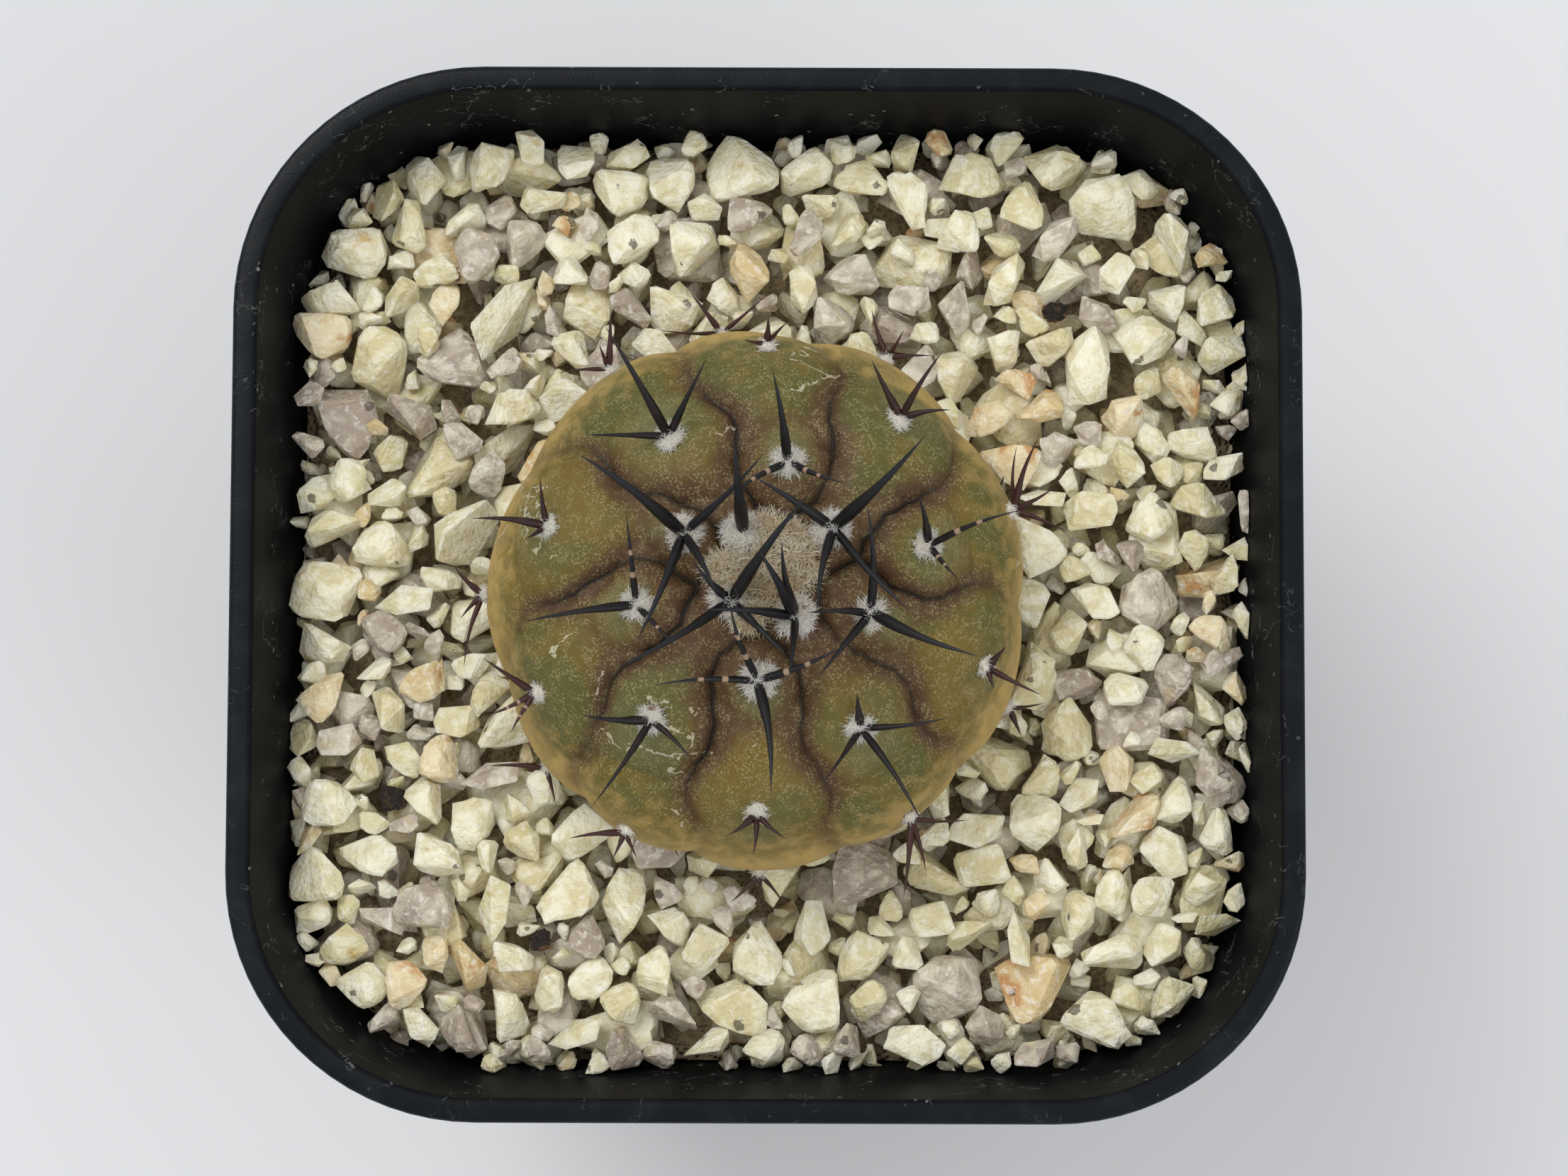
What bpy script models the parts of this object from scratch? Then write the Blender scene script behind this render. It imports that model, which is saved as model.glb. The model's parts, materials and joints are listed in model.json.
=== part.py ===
"""A round, ribbed cactus in a rounded square nursery pot with a gravel top dressing.

Metres, +Z up. The origin is the middle of the pot's footprint, on the surface it stands on.
The crown of the plant points up, and bearings are measured from +X towards +Y.
"""

import math
import random

import bmesh
import bpy
from mathutils import Vector, noise

MM = 0.001
GAP = 0.0003                    # clearance kept between neighbouring pieces

# Pot
RIM_WIDTH = 0.090               # outside the lip, flat to flat
FRONT_TO_BACK = 0.985           # the pot's size along Y, as a share of its width
RIM_CORNER = 0.0210             # corner radius outside the lip
LIP_WIDTH = 0.0021              # flat top of the lip
LIP_DEPTH = 0.007               # height of the band below the lip
LIP_EDGE = 0.0005               # worn outer edge of the lip
POT_HEIGHT = 0.080
BASE_WIDTH = 0.064
BASE_CORNER = 0.014
WALL = 0.0012
FLOOR = 0.0015
FOOT_HEIGHT = 0.002
FOOT_WIDTH = 0.003
FOOT_NOTCH = 0.010              # width of the four drain notches in the foot
DRAIN_RADIUS = 0.0035
DRAIN_SPREAD = BASE_WIDTH * 0.26               # corner holes, from the middle along X and Y
CORNER_STEPS = 7

# Fill
GRAVEL_DROP = 0.011             # from the lip down to the packed gravel
GRAVEL_DEPTH = 0.006
GRAVEL_RIPPLE = 0.0004

# Plant
STEM_RADIUS = 0.0227
STEM_CENTRE = Vector((-0.00075, -0.00075))     # middle of the widest ring
CROWN_CENTRE = Vector((0.0003, 0.00035))      # middle of the woolly crown
WIDEST_ABOVE_GRAVEL = 0.0105
CROWN_HEIGHT = 0.0145           # crown above the widest ring
BELLY_DEPTH = 0.0158            # underside below the widest ring
CROWN_DIP = 0.0009
FURROW_DEPTH = 0.0012
NECK_RADIUS = 0.0065
NECK_LENGTH = 0.001
TAPROOT_RADIUS = 0.0085
TAPROOT_LENGTH = 0.034
PAD_RADIUS = 0.0009             # felt pad under each group of spines
PAD_HEIGHT = 0.0008
WOOL_REACH = 0.0042
WOOL_HEIGHT = 0.0011
SPINE_SCALE = 1.0
SPINE_RADIUS = 0.00034          # base of a full grown spine

# One line for each rib, crown to ground. An areole is its bearing, its slope from the crown
# (90 is the widest ring), its stoutness, and its spines: bearing, run and rise in millimetres.
RIBS = (
    ((11, 37, 0.75, ((104, 3.9, 3.5), (21, 7.6, 4.0), (309, 3.3, 2.5))),
     (17, 77, 0.6, ((72, 6.0, 2.5), (88, 5.0, 1.0), (29, 3.4, 1.5), (337, 4.5, 0.5))),
     (22, 108, 0.45, ((70, 2.0, 1.0), (330, 2.0, 0.5)))),
    ((36, 17, 1.3, ((45, 9.9, 8.0), (259, 6.8, 6.0), (312, 9.0, 5.6), (148, 7.1, 3.5))),
     (51, 52, 0.8, ((118, 5.0, 2.0), (58, 6.0, 3.0), (8, 3.8, 1.5))),
     (63, 88, 0.55, ((108, 4.0, 0.0), (3, 3.5, 0.0), (60, 2.4, 1.5)))),
    ((81, 25, 0.85, ((100, 7.1, 5.0), (212, 5.4, 3.4), (338, 4.6, 3.5))),
     (91, 63, 0.55, ((87, 1.9, 1.4), (172, 1.6, 1.2), (45, 2.2, 1.4))),
     (101, 96, 0.5, ((128, 4.0, 0.5), (40, 4.6, 1.0), (178, 5.0, 1.0)))),
    ((123, 10, 1.3, ((95, 6.9, 9.0),)),
     (126, 38, 0.9, ((120, 9.7, 6.0), (63, 6.6, 3.5), (180, 6.5, 1.5))),
     (127, 82, 0.55, ((88, 4.8, 1.0), (111, 1.8, 1.2), (185, 3.8, 0.5)))),
    ((155, 19, 1.3, ((143, 10.0, 8.0), (248, 9.3, 5.0), (299, 5.8, 7.6), (44, 8.8, 5.0))),
     (167, 52, 0.75, ((175, 5.6, 2.0), (96, 3.7, 2.0), (215, 1.6, 1.3))),
     (182, 88, 0.55, ((135, 3.1, 0.5), (257, 6.0, 1.0), (228, 2.4, 0.0)))),
    ((193, 27, 0.8, ((189, 8.7, 3.0), (95, 7.2, 4.5), (315, 4.3, 3.0))),
     (206, 61, 0.6, ((145, 4.7, 1.5), (206, 4.0, 0.8), (240, 3.5, 0.5))),
     (219, 99, 0.5, ((178, 4.6, 0.5), (285, 3.0, 0.3)))),
    ((216, 9, 1.3, ((54, 10.2, 7.5), (211, 10.2, 6.5), (316, 5.9, 3.0), (133, 4.0, 2.8))),
     (231, 38, 0.8, ((175, 5.4, 1.5), (236, 7.9, 3.5), (317, 4.2, 2.0))),
     (240, 77, 0.55, ((186, 4.3, 0.5), (246, 2.0, 0.3), (297, 2.0, 0.5)))),
    ((264, 21, 1.0, ((277, 8.6, 4.5), (182, 7.9, 3.0), (109, 6.7, 6.4), (23, 7.3, 3.5))),
     (267, 53, 0.6, ((215, 2.5, 1.0), (265, 2.9, 1.4), (322, 2.8, 1.0))),
     (268, 94, 0.5, ((225, 3.0, 0.5), (310, 3.0, 0.5), (268, 2.0, 0.2)))),
    ((301, 10, 1.2, ((119, 5.8, 8.0), (101, 5.8, 6.5), (176, 7.2, 5.0), (264, 4.5, 6.5))),
     (301, 38, 0.85, ((97, 2.6, 2.2), (8, 6.9, 2.5), (234, 5.1, 3.0), (303, 8.7, 4.5))),
     (301, 77, 0.6, ((264, 6.1, 0.8), (286, 4.1, 0.2), (0, 4.3, 0.8)))),
    ((339, 23, 1.1, ((338, 8.8, 5.0), (93, 8.6, 4.4), (180, 4.9, 4.0), (230, 6.6, 3.5))),
     (338, 59, 0.65, ((51, 2.0, 1.2), (333, 4.5, 2.0), (285, 1.5, 1.0))),
     (333, 92, 0.5, ((293, 2.2, 0.3), (10, 2.6, 0.5)))),
)
LOW_AREOLES = ((66, 116), (103, 120), (129, 113), (193, 118), (247, 112), (301, 112))

# Loose pieces on the gravel: bearing, share of the way from stem to wall, width in millimetres
STONES = (
    (109, 0.52, 5.6), (129, 0.62, 5.6), (184, 0.55, 5.2), (62, 0.60, 5.2),
    (13, 0.62, 5.4), (206, 0.30, 4.6), (222, 0.62, 6.0), (335, 0.78, 5.0),
    (321, 0.62, 4.6), (163, 0.84, 4.6), (171, 0.60, 5.8), (246, 0.62, 4.6),
)
SOIL_CRUMBS = ((45, 0.46, 2.8), (208, 0.56, 3.0), (237, 0.46, 2.6))

GRAVEL_TOP = POT_HEIGHT - GRAVEL_DROP
GRAVEL_BOTTOM = GRAVEL_TOP - GRAVEL_DEPTH
WIDEST_Z = GRAVEL_TOP + WIDEST_ABOVE_GRAVEL
BELLY_Z = WIDEST_Z - BELLY_DEPTH
ROOT_TOP = BELLY_Z - NECK_LENGTH
FLOOR_TOP = FOOT_HEIGHT + FLOOR
RING_POINTS = 4 * (CORNER_STEPS + 1)


def clear_scene():
    for old in list(bpy.data.objects):
        bpy.data.objects.remove(old, do_unlink=True)


def material(name, colour, roughness, metallic=0.0):
    made = bpy.data.materials.new(name)
    made.use_nodes = True
    shader = made.node_tree.nodes["Principled BSDF"]
    shader.inputs["Base Color"].default_value = (*colour, 1.0)
    shader.inputs["Roughness"].default_value = roughness
    shader.inputs["Metallic"].default_value = metallic
    made.diffuse_color = (*colour, 1.0)
    return made


def add_object(name, mesh_data, finish, smooth_angle=40.0):
    bmesh.ops.recalc_face_normals(mesh_data, faces=mesh_data.faces)
    mesh = bpy.data.meshes.new(name)
    mesh_data.to_mesh(mesh)
    mesh_data.free()
    mesh.materials.append(finish)
    mesh.shade_smooth()
    mesh.set_sharp_from_angle(angle=math.radians(smooth_angle))
    thing = bpy.data.objects.new(name, mesh)
    bpy.context.scene.collection.objects.link(thing)
    return thing


def loft(rings):
    """A closed body through rings of equal length, with a flat cap on the first and last."""
    mesh = bmesh.new()
    rows = [[mesh.verts.new(point) for point in ring] for ring in rings]
    count = len(rings[0])
    for lower, upper in zip(rows, rows[1:]):
        for i in range(count):
            j = (i + 1) % count
            mesh.faces.new((lower[i], lower[j], upper[j], upper[i]))
    mesh.faces.new(list(reversed(rows[0])))
    mesh.faces.new(rows[-1])
    return mesh


def rounded_square(half, corner, z):
    """Points round a square with round corners, each corner an even arc."""
    corner = min(corner, half * 0.98)
    points = []
    for quarter, (side_x, side_y) in enumerate(((1, 1), (-1, 1), (-1, -1), (1, -1))):
        for step in range(CORNER_STEPS + 1):
            angle = math.radians(90 * quarter + 90 * step / CORNER_STEPS)
            x = side_x * (half - corner) + corner * math.cos(angle)
            y = side_y * (half - corner) + corner * math.sin(angle)
            points.append(Vector((x, y * FRONT_TO_BACK, z)))
    return points


def circle(centre, radius, z):
    """A circle whose points face the points of a rounded square ring."""
    points = []
    for quarter in range(4):
        for step in range(CORNER_STEPS + 1):
            angle = math.radians(90 * quarter + 90 * (step + 0.5) / (CORNER_STEPS + 1))
            points.append(Vector((centre.x + radius * math.cos(angle),
                                  centre.y + radius * math.sin(angle), z)))
    return points


def wall_section(z, inset):
    """Half width and corner radius of the pot's inner face at a height, moved in by inset."""
    top_half = RIM_WIDTH / 2 - LIP_WIDTH
    base_half = BASE_WIDTH / 2 - WALL
    share = z / POT_HEIGHT
    half = base_half + (top_half - base_half) * share
    corner = (BASE_CORNER - WALL) + (RIM_CORNER - LIP_WIDTH - BASE_CORNER + WALL) * share
    return half - inset, corner - inset


def wall_ring(z, inset):
    half, corner = wall_section(z, inset)
    return rounded_square(half, corner, z)


def cutter(name, mesh_data, target):
    tool = add_object(name, mesh_data, target.data.materials[0])
    tool.hide_render = True
    tool.display_type = "WIRE"
    cut = target.modifiers.new(name, "BOOLEAN")
    cut.operation = "DIFFERENCE"
    cut.solver = "EXACT"
    cut.object = tool
    return tool


def make_pot(finish):
    outer = -WALL
    lip_under = POT_HEIGHT - LIP_DEPTH
    foot_half, foot_corner = wall_section(0.0, outer)
    rings = [
        rounded_square(foot_half - FOOT_WIDTH, foot_corner - FOOT_WIDTH, FOOT_HEIGHT),
        rounded_square(foot_half - FOOT_WIDTH, foot_corner - FOOT_WIDTH, 0.0),
        rounded_square(foot_half, foot_corner, 0.0),
        wall_ring(FOOT_HEIGHT * 2, outer),
        wall_ring(lip_under, outer),
        rounded_square(RIM_WIDTH / 2 - LIP_EDGE / 2, RIM_CORNER, lip_under),
        rounded_square(RIM_WIDTH / 2, RIM_CORNER, POT_HEIGHT - LIP_EDGE),
        rounded_square(RIM_WIDTH / 2 - LIP_EDGE, RIM_CORNER - LIP_EDGE, POT_HEIGHT),
        wall_ring(POT_HEIGHT, 0.0),
        wall_ring(GRAVEL_TOP, 0.0),
        wall_ring(FLOOR_TOP, 0.0),
    ]
    pot = add_object("pot", loft(rings), finish)
    spots = [Vector((0.0, 0.0))]
    for sx in (-1, 1):
        for sy in (-1, 1):
            spots.append(Vector((sx * DRAIN_SPREAD, sy * DRAIN_SPREAD)))
    for number, spot in enumerate(spots):
        hole = [circle(spot, DRAIN_RADIUS, z) for z in (-FLOOR, FLOOR_TOP + FLOOR)]
        cutter(f"drain_cutter_{number}", loft(hole), pot)
    for number, turn in enumerate((0.0, 90.0)):
        half_length = BASE_WIDTH
        half_notch = FOOT_NOTCH / 2
        deep = FOOT_HEIGHT * 0.6
        angle = math.radians(turn)
        along = Vector((math.cos(angle), math.sin(angle), 0.0)) * half_length
        across = Vector((-math.sin(angle), math.cos(angle), 0.0)) * half_notch
        corners = (-along - across, along - across, along + across, across - along)
        notch = [[point + Vector((0, 0, z)) for point in corners] for z in (-deep, deep)]
        cutter(f"notch_cutter_{number}", loft(notch), pot)
    return pot


def outline_reach(bearing):
    """Distance in plan from the crown to the widest ring, along a bearing."""
    way = Vector((math.cos(bearing), math.sin(bearing)))
    offset = STEM_CENTRE - CROWN_CENTRE
    along = way.dot(offset)
    return along + math.sqrt(STEM_RADIUS ** 2 - offset.length_squared + along ** 2)


def rib_bearing(rib, slope):
    """A rib's middle line winds a little: its bearing at a slope, from its areoles."""
    first, last = rib[0], rib[-1]
    if slope <= first[1]:
        return first[0]
    for upper, lower in zip(rib, rib[1:]):
        if slope <= lower[1]:
            share = (slope - upper[1]) / (lower[1] - upper[1])
            return upper[0] + (lower[0] - upper[0]) * share
    return last[0]


def rib_crest(bearing, slope):
    """1 on the middle of a rib and 0 in the furrow between two ribs."""
    turn = math.degrees(bearing) % 360.0
    lines = sorted(rib_bearing(rib, slope) % 360.0 for rib in RIBS)
    lines = [lines[-1] - 360.0] + lines + [lines[0] + 360.0]
    for left, right in zip(lines, lines[1:]):
        if left <= turn < right:
            half = (right - left) / 2
            return (abs(turn - (left + half)) / half) ** 0.7
    return 1.0


def skin(bearing, slope, lift=0.0):
    """A point on the plant's skin, moved out along its normal by lift."""
    share = math.sin(slope)
    reach = outline_reach(bearing)
    plan = CROWN_CENTRE + Vector((math.cos(bearing), math.sin(bearing))) * (share * reach)
    tall = CROWN_HEIGHT if slope < math.pi / 2 else BELLY_DEPTH
    dip = CROWN_DIP * math.exp(-(share / 0.16) ** 2) if slope < math.pi / 2 else 0.0
    z = WIDEST_Z + tall * math.cos(slope) - dip
    outward = skin_normal(bearing, slope)
    fade = math.sin(min(slope * 2.2, math.pi / 2)) * (0.35 + 0.65 * max(0.0, math.cos(slope)))
    if slope > math.pi / 2:
        fade *= max(0.0, 1.0 - (slope - math.pi / 2) / 0.9)
    furrow = FURROW_DEPTH * fade * (1.0 - rib_crest(bearing, math.degrees(slope)))
    return Vector((plan.x, plan.y, z)) + outward * (lift - furrow)


def skin_normal(bearing, slope):
    tall = CROWN_HEIGHT if slope < math.pi / 2 else BELLY_DEPTH
    side = math.sin(slope) / STEM_RADIUS
    up = math.cos(slope) / tall
    return Vector((math.cos(bearing) * side, math.sin(bearing) * side, up)).normalized()


def slope_at(bearing, distance):
    return math.asin(min(1.0, distance / outline_reach(bearing)))


def belly_radius(z):
    """Plan radius of the smooth underside at a height."""
    drop = min(1.0, max(0.0, (WIDEST_Z - z) / BELLY_DEPTH))
    return STEM_RADIUS * math.sqrt(1.0 - drop ** 2)


def make_stem(finish):
    turns = 60
    slopes = [4, 8, 12, 17, 22, 27, 32, 37, 43, 49, 55, 62, 69, 76, 83, 90, 97, 105, 113, 122, 132]
    neck_slope = math.pi - math.asin(NECK_RADIUS * 1.25 / STEM_RADIUS)
    mesh = bmesh.new()
    top = mesh.verts.new(skin(0.0, 0.0))
    rows = []
    for slope in [math.radians(s) for s in slopes] + [neck_slope]:
        rows.append([skin(math.tau * i / turns, slope) for i in range(turns)])
    for share, wide in ((0.0, NECK_RADIUS), (0.2, TAPROOT_RADIUS), (0.5, TAPROOT_RADIUS * 0.8),
                        (0.8, TAPROOT_RADIUS * 0.4), (1.0, TAPROOT_RADIUS * 0.12)):
        z = ROOT_TOP - TAPROOT_LENGTH * share
        ring = []
        for i in range(turns):
            angle = math.tau * i / turns
            ring.append(Vector((STEM_CENTRE.x + wide * math.cos(angle),
                                STEM_CENTRE.y + wide * math.sin(angle), z)))
        rows.append(ring)
    made = [[mesh.verts.new(point) for point in row] for row in rows]
    for i in range(turns):
        mesh.faces.new((top, made[0][i], made[0][(i + 1) % turns]))
    for upper, lower in zip(made, made[1:]):
        for i in range(turns):
            j = (i + 1) % turns
            mesh.faces.new((upper[i], lower[i], lower[j], upper[j]))
    mesh.faces.new(made[-1])
    return add_object("cactus_stem", mesh, finish, 80.0)


def root_hole(z):
    """Radius that the fill leaves round the neck and taproot at a height."""
    root = max(NECK_RADIUS, TAPROOT_RADIUS) * 1.06
    if z > ROOT_TOP:
        root = max(root, belly_radius(z) * 1.06 + 0.0006)
    return root + GAP


def make_substrate(finish):
    bottom = FLOOR_TOP + GAP
    top = GRAVEL_BOTTOM - GAP
    hole_floor = ROOT_TOP - TAPROOT_LENGTH - 2 * GAP
    rings = [wall_ring(bottom, GAP), wall_ring((bottom + top) / 2, GAP), wall_ring(top, GAP)]
    rings.append(circle(STEM_CENTRE, root_hole(top), top))
    if top > ROOT_TOP:
        rings.append(circle(STEM_CENTRE, root_hole(ROOT_TOP), ROOT_TOP))
    rings.append(circle(STEM_CENTRE, root_hole(ROOT_TOP), hole_floor))
    return add_object("substrate", loft(rings), finish)


def ripple(x, y):
    """Uneven lie of the packed gravel."""
    return GRAVEL_RIPPLE * noise.noise(Vector((x, y, 0.0)) / (6 * MM))


def make_gravel_bed(finish):
    bottom_hole = root_hole(GRAVEL_BOTTOM)
    top_hole = belly_radius(GRAVEL_TOP + GRAVEL_RIPPLE) + 2 * GAP + GRAVEL_RIPPLE
    bottom_hole = max(bottom_hole, belly_radius(GRAVEL_BOTTOM + GAP) + 3 * GAP)
    outer = wall_ring(GRAVEL_TOP, GAP)
    inner = circle(STEM_CENTRE, top_hole, GRAVEL_TOP)
    rings = [circle(STEM_CENTRE, bottom_hole, GRAVEL_BOTTOM), wall_ring(GRAVEL_BOTTOM, GAP)]
    for share in (0.0, 0.15, 0.32, 0.5, 0.68, 0.85, 1.0):
        ring = []
        for a, b in zip(outer, inner):
            point = a.lerp(b, share)
            hump = 0.0 if share in (0.0, 1.0) else ripple(point.x, point.y)
            ring.append(Vector((point.x, point.y, GRAVEL_TOP + hump)))
        rings.append(ring)
    mesh = bmesh.new()
    rows = [[mesh.verts.new(point) for point in ring] for ring in rings]
    for lower, upper in zip(rows, rows[1:] + rows[:1]):
        for i in range(RING_POINTS):
            j = (i + 1) % RING_POINTS
            mesh.faces.new((lower[i], lower[j], upper[j], upper[i]))
    return add_object("gravel_bed", mesh, finish)


def areoles():
    """Every areole as bearing, slope, stoutness and spines, crown first on each rib."""
    found = [areole for rib in RIBS for areole in rib]
    for bearing, slope in LOW_AREOLES:
        short = tuple((bearing + turn, 1.8, rise) for turn, rise in ((-50, 0.8), (55, 0.5)))
        found.append((bearing, slope, 0.4, short))
    return found


def wool_limit(bearing):
    """How far the crown wool spreads before it meets a felt pad."""
    pads = []
    for pad_bearing, slope, _, _ in areoles():
        if slope < 30:
            pads.append(skin(math.radians(pad_bearing), math.radians(slope)).xy)
    reach = PAD_RADIUS
    while reach < WOOL_REACH:
        spot = CROWN_CENTRE + Vector((math.cos(bearing), math.sin(bearing))) * (reach + 0.0001)
        if min((spot - pad).length for pad in pads) < PAD_RADIUS * 1.25 + 2 * GAP:
            break
        reach += 0.0001
    return reach


def make_crown_wool(finish):
    turns = 24
    bearings = [math.tau * i / turns for i in range(turns)]
    limits = [wool_limit(bearing) for bearing in bearings]
    rings = []
    for share, thick in ((0.35, 0.0), (0.7, 0.0), (1.0, 0.12), (0.8, 0.7), (0.4, 1.0)):
        ring = []
        for bearing, limit in zip(bearings, limits):
            slope = slope_at(bearing, limit * share)
            ring.append(skin(bearing, slope, 1.5 * GAP + WOOL_HEIGHT * thick))
        rings.append(ring)
    return add_object("crown_wool", loft(rings), finish)


def spine_path(start, bearing, run, rise):
    """Points along a spine that leaves steeply and bends over a little towards its tip."""
    way = Vector((math.cos(bearing), math.sin(bearing), 0.0))
    points = []
    for share in (0.0, 0.3, 0.65, 1.0):
        up = rise * (1.35 * share - 0.35 * share ** 2)
        points.append(start + way * (run * share) + Vector((0.0, 0.0, up)))
    return points


def grow_spine(mesh, face, bearing, run, rise, radius):
    """Replace a face of the pad with a slim, tapering, four sided spine."""
    corners = list(face.verts)
    middle = face.calc_center_median()
    path = spine_path(middle, bearing, run, rise)
    ahead = (path[1] - path[0]).normalized()
    spokes = []
    for corner in corners:
        arm = corner.co - middle
        arm -= ahead * arm.dot(ahead)
        spokes.append(arm.normalized())
    mesh.faces.remove(face)
    rows = [corners]
    for share, point in ((0.08, path[0] + ahead * radius), (0.3, path[1]), (0.65, path[2])):
        wide = radius * (1.0 - 0.75 * share)
        rows.append([mesh.verts.new(point + spoke * wide) for spoke in spokes])
    tip = mesh.verts.new(path[-1])
    count = len(corners)
    for lower, upper in zip(rows, rows[1:]):
        for i in range(count):
            j = (i + 1) % count
            mesh.faces.new((lower[i], lower[j], upper[j], upper[i]))
    for i in range(count):
        mesh.faces.new((rows[-1][i], rows[-1][(i + 1) % count], tip))


def make_spine_cluster(number, areole, finish):
    bearing, slope, stout, spines = areole
    bearing = math.radians(bearing)
    slope = math.radians(slope)
    up = skin_normal(bearing, slope)
    seat = skin(bearing, slope, 1.3 * GAP)
    right = Vector((-math.sin(bearing), math.cos(bearing), 0.0))
    front = right.cross(up).normalized()
    mesh = bmesh.new()
    sides = 8
    wide = PAD_RADIUS * (0.75 + 0.25 * stout)
    rows = []
    for ring_share, height in ((0.7, 0.0), (1.0, 0.25), (0.9, 0.7), (0.45, 1.0)):
        row = []
        for i in range(sides):
            angle = math.tau * (i + 0.5) / sides
            arm = front * math.cos(angle) + right * math.sin(angle)
            place = seat + arm * (wide * ring_share) + up * (PAD_HEIGHT * height)
            row.append(mesh.verts.new(place))
        rows.append(row)
    free = []
    for lower, upper in zip(rows, rows[1:]):
        for i in range(sides):
            j = (i + 1) % sides
            free.append(mesh.faces.new((lower[i], lower[j], upper[j], upper[i])))
    mesh.faces.new(list(reversed(rows[0])))
    mesh.faces.new(rows[-1])
    mesh.normal_update()
    free = free[sides:]
    for turn, run, rise in spines:
        turn = math.radians(turn)
        reach = run * MM * SPINE_SCALE
        height = rise * MM * SPINE_SCALE
        aim = Vector((math.cos(turn) * reach, math.sin(turn) * reach, height)).normalized()
        face = max(free, key=lambda f: aim.dot((f.calc_center_median() - seat).normalized()))
        free.remove(face)
        radius = SPINE_RADIUS * (0.55 + 0.4 * stout)
        grow_spine(mesh, face, turn, reach, height, radius)
    return add_object(f"spine_cluster_{number:02d}", mesh, finish, 50.0)


def wall_distance(bearing, z):
    """Distance in plan from the stem's middle to the pot wall along a bearing."""
    half, corner = wall_section(z, 0.0)
    low, high = 0.0, 2 * half
    for _ in range(40):
        middle = (low + high) / 2
        x = abs(STEM_CENTRE.x + middle * math.cos(bearing))
        y = abs(STEM_CENTRE.y + middle * math.sin(bearing)) / FRONT_TO_BACK
        over = Vector((max(x - half + corner, 0.0), max(y - half + corner, 0.0)))
        inside = x < half and y < half and over.length < corner
        if inside:
            low = middle
        else:
            high = middle
    return low


def make_loose_piece(name, place, squash, seed, finish):
    """A broken, angular stone or crumb that lies on the gravel."""
    bearing, share, width = place
    bearing = math.radians(bearing)
    half = width * MM / 2
    near = STEM_RADIUS + half + 2 * GAP
    far = wall_distance(bearing, GRAVEL_TOP) - half - 2 * GAP
    distance = near + (far - near) * share
    dice = random.Random(seed)
    rough = bmesh.new()
    for _ in range(22):
        way = Vector((dice.gauss(0, 1), dice.gauss(0, 1), dice.gauss(0, 1))).normalized()
        size = half * dice.uniform(0.82, 1.0)
        rough.verts.new(Vector((way.x * size, way.y * size * 0.8, way.z * size * squash)))
    hull = bmesh.ops.convex_hull(rough, input=list(rough.verts))
    spare = [item for item in hull["geom_interior"] if isinstance(item, bmesh.types.BMVert)]
    bmesh.ops.delete(rough, geom=spare, context="VERTS")
    turn = dice.uniform(0.0, math.pi)
    lowest = min(corner.co.z for corner in rough.verts)
    x = STEM_CENTRE.x + distance * math.cos(bearing)
    y = STEM_CENTRE.y + distance * math.sin(bearing)
    floor = GRAVEL_TOP + GRAVEL_RIPPLE + GAP
    for corner in rough.verts:
        local = corner.co.copy()
        corner.co.x = x + local.x * math.cos(turn) - local.y * math.sin(turn)
        corner.co.y = y + local.x * math.sin(turn) + local.y * math.cos(turn)
        corner.co.z = floor + local.z - lowest
    return add_object(name, rough, finish, 15.0)


def main():
    clear_scene()
    make_pot(material("black_plastic", (0.018, 0.021, 0.024), 0.45))
    make_substrate(material("potting_soil", (0.035, 0.022, 0.014), 0.95))
    gravel = material("pale_gravel", (0.62, 0.57, 0.45), 0.75)
    make_gravel_bed(gravel)
    make_stem(material("cactus_skin", (0.13, 0.11, 0.035), 0.55))
    make_crown_wool(material("cream_wool", (0.68, 0.63, 0.50), 0.95))
    spine = material("dark_spine", (0.02, 0.014, 0.012), 0.4)
    for number, areole in enumerate(areoles(), start=1):
        make_spine_cluster(number, areole, spine)
    for number, place in enumerate(STONES, start=1):
        make_loose_piece(f"gravel_stone_{number:02d}", place, 0.55, number, gravel)
    crumb = material("soil_crumb", (0.06, 0.035, 0.02), 0.95)
    for number, place in enumerate(SOIL_CRUMBS, start=1):
        make_loose_piece(f"soil_crumb_{number:02d}", place, 0.7, 100 + number, crumb)


main()
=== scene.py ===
"""Looks of a potted round cactus: ribbed skin, spines, wool, broken stones and a black nursery pot.

Everything is in metres, +Z up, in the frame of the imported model, and every piece rides on the root body.
Bearings run from +X towards +Y, and a slope on the plant is 0 at the crown and 90 at the widest ring.
"""

import json
import logging
import math
import random
from dataclasses import dataclass, field
from enum import Enum

import bmesh
import bpy
import numpy as np
from mathutils import Euler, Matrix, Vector, noise
from mathutils.geometry import tessellate_polygon

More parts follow.
